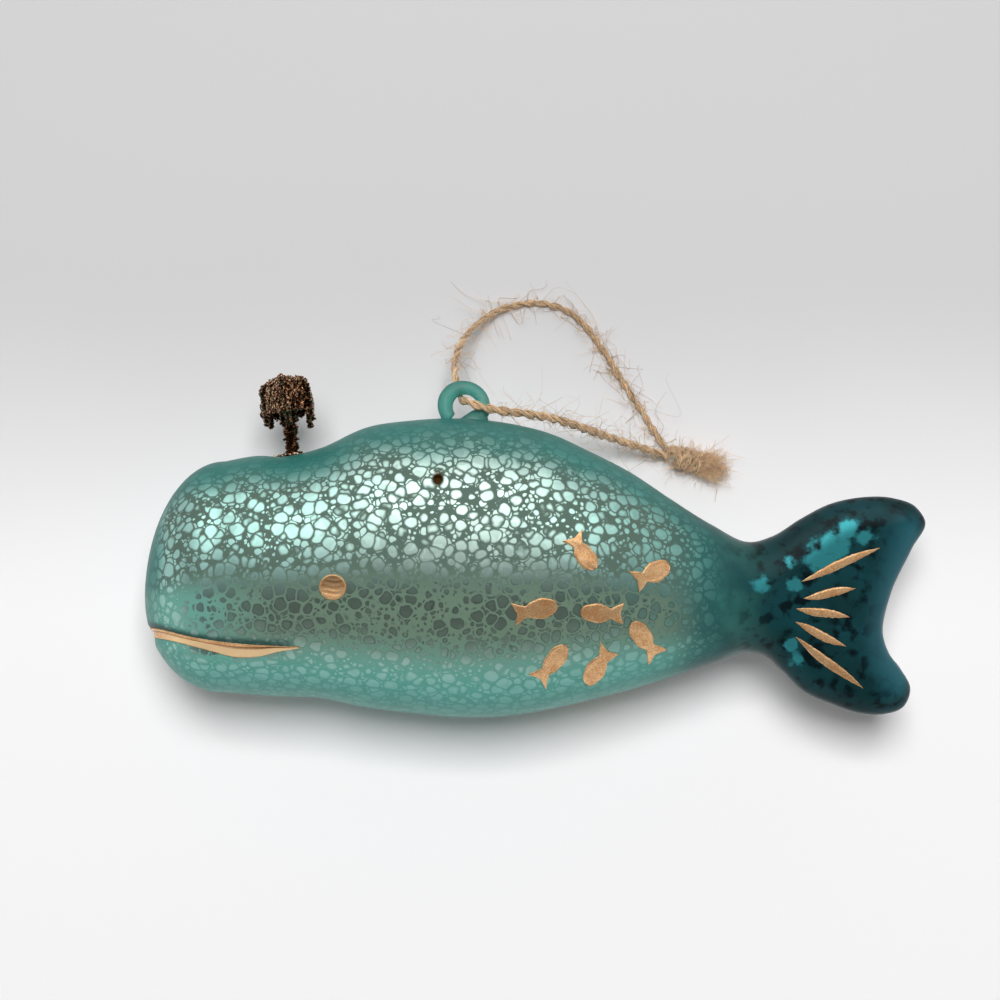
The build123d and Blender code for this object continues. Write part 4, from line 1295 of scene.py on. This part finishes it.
def knot_paths(thick, random):
    """Three paths of the knot: a coil round it, a slower coil across that, and a line through its middle."""
    t = np.linspace(0, 1, KNOT_STEPS)[:, None]
    coil = 2 * np.pi * KNOT_TURNS * t[:, 0]
    bulge = (KNOT_RADIUS - thick / 2) * (0.86 + 0.14 * np.sin(np.pi * t))
    way = KNOT_AHEAD * (1.2 + (KNOT_LENGTH - 2.4) * (t + 0.06 * np.sin(9 * t)))
    wraps = way + bulge * circle(coil, KNOT_ASIDE, TO_TOP)
    cross = way + 0.86 * bulge * circle(1 - 0.8 * coil, KNOT_ASIDE, TO_TOP)
    inner = KNOT_AHEAD * KNOT_LENGTH * t + 0.5 * thick * KNOT_ASIDE * np.cos(5 * t)
    wander = crinkle(random, 3, KNOT_STEPS, knots=9, size=0.35)
    paths = KNOT_START + wander + np.stack([wraps, cross, inner])
    paths[..., 2] = np.maximum(paths[..., 2], thick / 2 + 0.1)
    return paths


def frayed_end(side, random):
    """Fibres of one end past the knot, which lean out and curl in again."""
    each = (TAIL_FIBRES, 1)
    root = KNOT_START + KNOT_AHEAD * (KNOT_LENGTH - 1.6) + KNOT_ASIDE * side * 1.1
    starts = root + KNOT_ASIDE * random.normal(0, 0.50, each) + TO_TOP * random.normal(0, 0.50, each)
    lean = KNOT_ASIDE * (0.16 * side + random.normal(0, 0.24, each))
    lean = lean + TO_TOP * random.normal(0.06, 0.22, each)
    lengths = random.beta(2.2, 1.5, TAIL_FIBRES) * TAIL_LENGTH
    widths = random.uniform(0.06, 0.11, TAIL_FIBRES)
    inwards = -0.8 * lean - 0.15 * KNOT_AHEAD
    return hairs(random, starts, KNOT_AHEAD + lean, lengths, widths, bend=0.30, inwards=inwards,
                 tones=(0.9, 1.6))


def loop_fuzz(path, thick, number, random):
    """Fibres that stand off the loop to both sides, clear of the ring."""
    clear = np.flatnonzero(np.linalg.norm(path - RING_CENTRE, axis=1) > FUZZ_CLEARANCE)
    at = clear[random.integers(4, len(clear) - 4, number)]
    heading = unit(np.gradient(path, axis=0))[at]
    out = unit(np.cross(heading, random.normal(0, 1, (number, 3))))
    sign = random.choice([-1, 1], (number, 1))
    ways = unit(0.9 * sign * heading + out * random.uniform(0.2, 1.0, (number, 1)))
    lengths = random.gamma(1.7, 1.7, number).clip(0.8, 7.0)
    widths = random.uniform(0.045, 0.085, number)
    starts = path[at] + out * thick * 0.4
    return hairs(random, starts, ways, lengths, widths, bend=0.7, inwards=0.0, tones=(0.1, 1.3))


def knot_fuzz(thick, number, random):
    """Fibres that lie round the knot and over the frayed ends."""
    ways = unit(random.normal(0, 1, (number, 3)) + 0.4 * KNOT_AHEAD)
    roots = KNOT_START + KNOT_AHEAD * random.uniform(0.5, KNOT_LENGTH + 3.5, (number, 1))
    roots = roots + ways * (KNOT_RADIUS - thick / 2)
    around = unit(np.cross(ways, random.normal(0, 1, (number, 3))))
    lengths = random.uniform(1.0, 4.0, number)
    widths = random.uniform(0.06, 0.11, number)
    return hairs(random, roots, around + 0.2 * ways, lengths, widths, bend=0.4, inwards=-0.25 * ways,
                 tones=(0.5, 1.3))


def put_twine(name, parts, jute, nodes):
    """One piece of the hanger from parts that each hold shells and the tones of their strands."""
    shells, tones = zip(*parts)
    strand = np.concatenate([tone.ravel() for tone in tones])
    return put_piece(name, shells, jute, "hanger", nodes, marks={"strand": strand})


def add_light(scene, name, place, size, power):
    """Soft rectangular light that faces the whale."""
    data = bpy.data.lights.new(name, "AREA")
    data.shape = "RECTANGLE"
    data.size, data.size_y = size
    data.energy = power
    light = bpy.data.objects.new(name, data)
    light.location = place
    light.rotation_euler = Vector(place).to_track_quat("Z", "Y").to_euler()
    scene.collection.objects.link(light)
    return light


def add_world(scene):
    """Soft grey room: pale near the horizon and dark overhead."""
    world = bpy.data.worlds.new("room")
    world.use_nodes = True
    nodes = Nodes(world.node_tree)
    way = nodes.add("TexCoord").outputs["Generated"]
    level = nodes.step(nodes.add("SeparateXYZ", {0: way}).outputs["Z"], 0.25, 0.70, 0.80, 0.06)
    tint = nodes.add("CombineColor", {0: level, 1: level, 2: level})
    nodes.feed(world.node_tree.nodes["Background"], {"Color": tint.outputs[0]})
    scene.world = world


def add_camera(scene, settings):
    """Camera that looks down on the left flank from the belly's side."""
    back = Vector((0, -math.cos(settings.elevation), math.sin(settings.elevation)))
    data = bpy.data.cameras.new("camera")
    data.sensor_width = SENSOR_WIDTH
    data.lens = SENSOR_WIDTH * settings.distance / settings.width
    data.clip_start = 0.01
    camera = bpy.data.objects.new("camera", data)
    camera.location = Vector(settings.aim) + back * settings.distance
    camera.rotation_euler = back.to_track_quat("Z", "Y").to_euler()
    scene.collection.objects.link(camera)
    scene.camera = camera


class WHALE_OT_glass(bpy.types.Operator):
    """Blown body with its mouth, cup and vent, and the hanging ring"""

    bl_idname = "whale.glass"
    bl_label = "Glass"

    def execute(self, context):
        points, angle, share = whale_grid()
        put_piece("whale_glass", [carve(points)[None]], glass_material(context.scene.whale_glass),
                  "whale", ["glass_body"], marks=glass_marks(points, angle, share))
        put_piece("ring_glass", ring_shell(), frosted_material(), "whale", ["hanging_ring"])
        return {"FINISHED"}


class WHALE_OT_gold(bpy.types.Operator):
    """Gold mouth, eyes, fish and tail strokes"""

    bl_idname = "whale.gold"
    bl_label = "Gold marks"

    def execute(self, context):
        settings = context.scene.whale_gold
        thick = settings.film / MM
        gold = gold_material(settings)
        random = np.random.default_rng(GOLD_SEED)
        fish = [fish_film(along(x), up(y), heading, thick, random) for x, y, heading in FISH_PLACES]
        strokes = [stroke_film(*fluke_point(stroke[:2]), *stroke[2:], thick, random) for stroke in STROKES]
        eye, eye_marks = eye_film(thick)
        mouth, marks = mouth_film(thick)
        put_piece("gold_mouth", [mouth], gold, "whale", ["gilt_mouth"], marks=marks)
        paired = (("eye", [eye], eye_marks), ("fish", fish, None), ("tail", strokes, None))
        for side in ("left", "right"):
            for name, shells, marks in paired:
                if side == "right":
                    shells = [flip(shell) for shell in shells]
                put_piece(f"gold_{name}_{side}", shells, gold, "whale", [f"gilt_{name}_{side}"],
                          marks=marks)
        return {"FINISHED"}


class WHALE_OT_spout(bpy.types.Operator):
    """Crinkled wire pad, stem and arms in the blowhole"""

    bl_idname = "whale.spout"
    bl_label = "Wire spout"

    def execute(self, context):
        settings = context.scene.whale_spout
        bronze = wire_material(settings)
        wire = settings.wire / MM
        random = np.random.default_rng(WIRE_SEED)
        climb = np.linspace(-PAD_SINK, STEM_LENGTH + STEM_TOP, STEM_STEPS)[:, None]
        stem = wound(STEM_FOOT + SPOUT_AXIS * climb, random, wires=4, turns=13, radius=CORE_RADIUS + 0.45,
                     wire=1.3 * wire, loose=0.09)
        pad = wound(pad_path(), random, wires=2, turns=46, radius=0.32, wire=wire, loose=0.10)
        pieces = [("stem_wire", [stem], "spout_winding"), ("pad_wire", [pad], "spout_pad")]
        for number in range(ARM_COUNT):
            path = arm_path(number) + crinkle(random, 1, ARM_STEPS, knots=5, size=0.25)[0]
            arm = wound(path, random, wires=5, turns=30, radius=0.52, wire=wire, loose=0.09)
            dome = dome_wires(number, random, wire)
            pieces.append((f"arm_wire_{number + 1}", [arm, dome], f"spout_arm_{number + 1}"))
        for name, shells, node in pieces:
            put_piece(name, shells, bronze, "whale", [node], smooth=False)
        for node, material in (("spout_core", bronze), ("spout_glue", glue_material())):
            frame["nodes"][node].data.materials.clear()
            frame["nodes"][node].data.materials.append(material)
        return {"FINISHED"}


class WHALE_OT_twine(bpy.types.Operator):
    """Jute loop through the ring, its knot, its frayed ends and stray fibres"""

    bl_idname = "whale.twine"
    bl_label = "Twine hanger"

    def execute(self, context):
        settings = context.scene.whale_twine
        jute = jute_material(settings)
        random = np.random.default_rng(TWINE_SEED)
        thick, lay = settings.diameter / MM, settings.lay / MM
        line = spline_points(twine_route(settings.diameter))
        path, places = resample(line / MM)
        swell = 1.16 - 0.32 * ease(0.30, 0.46, places / places[-1])
        loop = put_twine("twine_yarn", [yarn(path, places, thick * swell, lay, random)], jute, ["twine_loop"])
        wraps = [yarn(*resample(wrap), thick, lay, random) for wrap in knot_paths(thick, random)]
        knot = put_twine("twine_knot_yarn", wraps, jute, ["twine_knot"])
        tails = [
            put_twine(f"twine_end_{name}", [frayed_end(side, random)], jute, [f"twine_tail_{name}"])
            for name, side in (("a", 1), ("b", -1))
        ]
        fuzz = [loop_fuzz(path, thick, settings.fuzz, random), knot_fuzz(thick, settings.fuzz, random)]
        stray = put_twine("twine_fuzz", fuzz, jute, [])
        return {"FINISHED"}


class WHALE_OT_stage(bpy.types.Operator):
    """Pale floor, soft light and the camera over the left flank"""

    bl_idname = "whale.stage"
    bl_label = "Stage"

    def execute(self, context):
        settings = context.scene.whale_stage
        scene = context.scene
        scene.view_settings.view_transform = "Standard"
        add_camera(scene, settings)
        floor = bpy.data.meshes.new("floor")
        corners = [(x * FLOOR_REACH, y * FLOOR_REACH, 0) for x, y in ((-1, -1), (1, -1), (1, 1), (-1, 1))]
        floor.from_pydata(corners, [], [(0, 1, 2, 3)])
        floor.materials.append(floor_material(settings))
        ground = bpy.data.objects.new("floor", floor)
        scene.collection.objects.link(ground)
        sheen = add_light(scene, "sheen", *SHEEN_LIGHT)
        sheen.visible_diffuse = False
        key = add_light(scene, "key", *KEY_LIGHT)
        key.visible_glossy = False
        add_world(scene)
        return {"FINISHED"}


class WHALE_PT_panel(bpy.types.Panel):
    """Lists the pieces of the whale and their settings"""

    bl_label = "Whale ornament"
    bl_idname = "WHALE_PT_panel"
    bl_space_type = "VIEW_3D"
    bl_region_type = "UI"
    bl_category = "Whale"

    def draw(self, context):
        for operator, group, names in PANEL_ROWS:
            box = self.layout.box()
            box.operator(operator)
            for name in names:
                box.prop(getattr(context.scene, group), name)


PANEL_ROWS = [
    ("whale.glass", "whale_glass", ("speckle", "silver", "net", "teal", "petrol")),
    ("whale.gold", "whale_gold", ("film", "gold")),
    ("whale.spout", "whale_spout", ("wire", "bronze")),
    ("whale.twine", "whale_twine", ("diameter", "lay", "fuzz", "jute")),
    ("whale.stage", "whale_stage", ("distance", "elevation", "aim", "width", "floor")),
]
SETTINGS = {
    "whale_glass": GlassSettings,
    "whale_gold": GoldSettings,
    "whale_spout": SpoutSettings,
    "whale_twine": TwineSettings,
    "whale_stage": StageSettings,
}
CLASSES = [*SETTINGS.values(), WHALE_OT_glass, WHALE_OT_gold, WHALE_OT_spout, WHALE_OT_twine, WHALE_OT_stage,
           WHALE_PT_panel]


def register():
    """Registers the classes and hangs the settings on the scene."""
    for item in CLASSES:
        bpy.utils.register_class(item)
    for name, group in SETTINGS.items():
        setattr(bpy.types.Scene, name, bpy.props.PointerProperty(type=group))


def unregister():
    """Takes the settings and the classes away again."""
    for name in SETTINGS:
        delattr(bpy.types.Scene, name)
    for item in reversed(CLASSES):
        bpy.utils.unregister_class(item)


def main():
    """Builds every piece and the stage."""
    register()
    for operator in ("stage", "twine", "glass", "gold", "spout"):
        getattr(bpy.ops.whale, operator)()


if __name__ == "__main__":
    main()
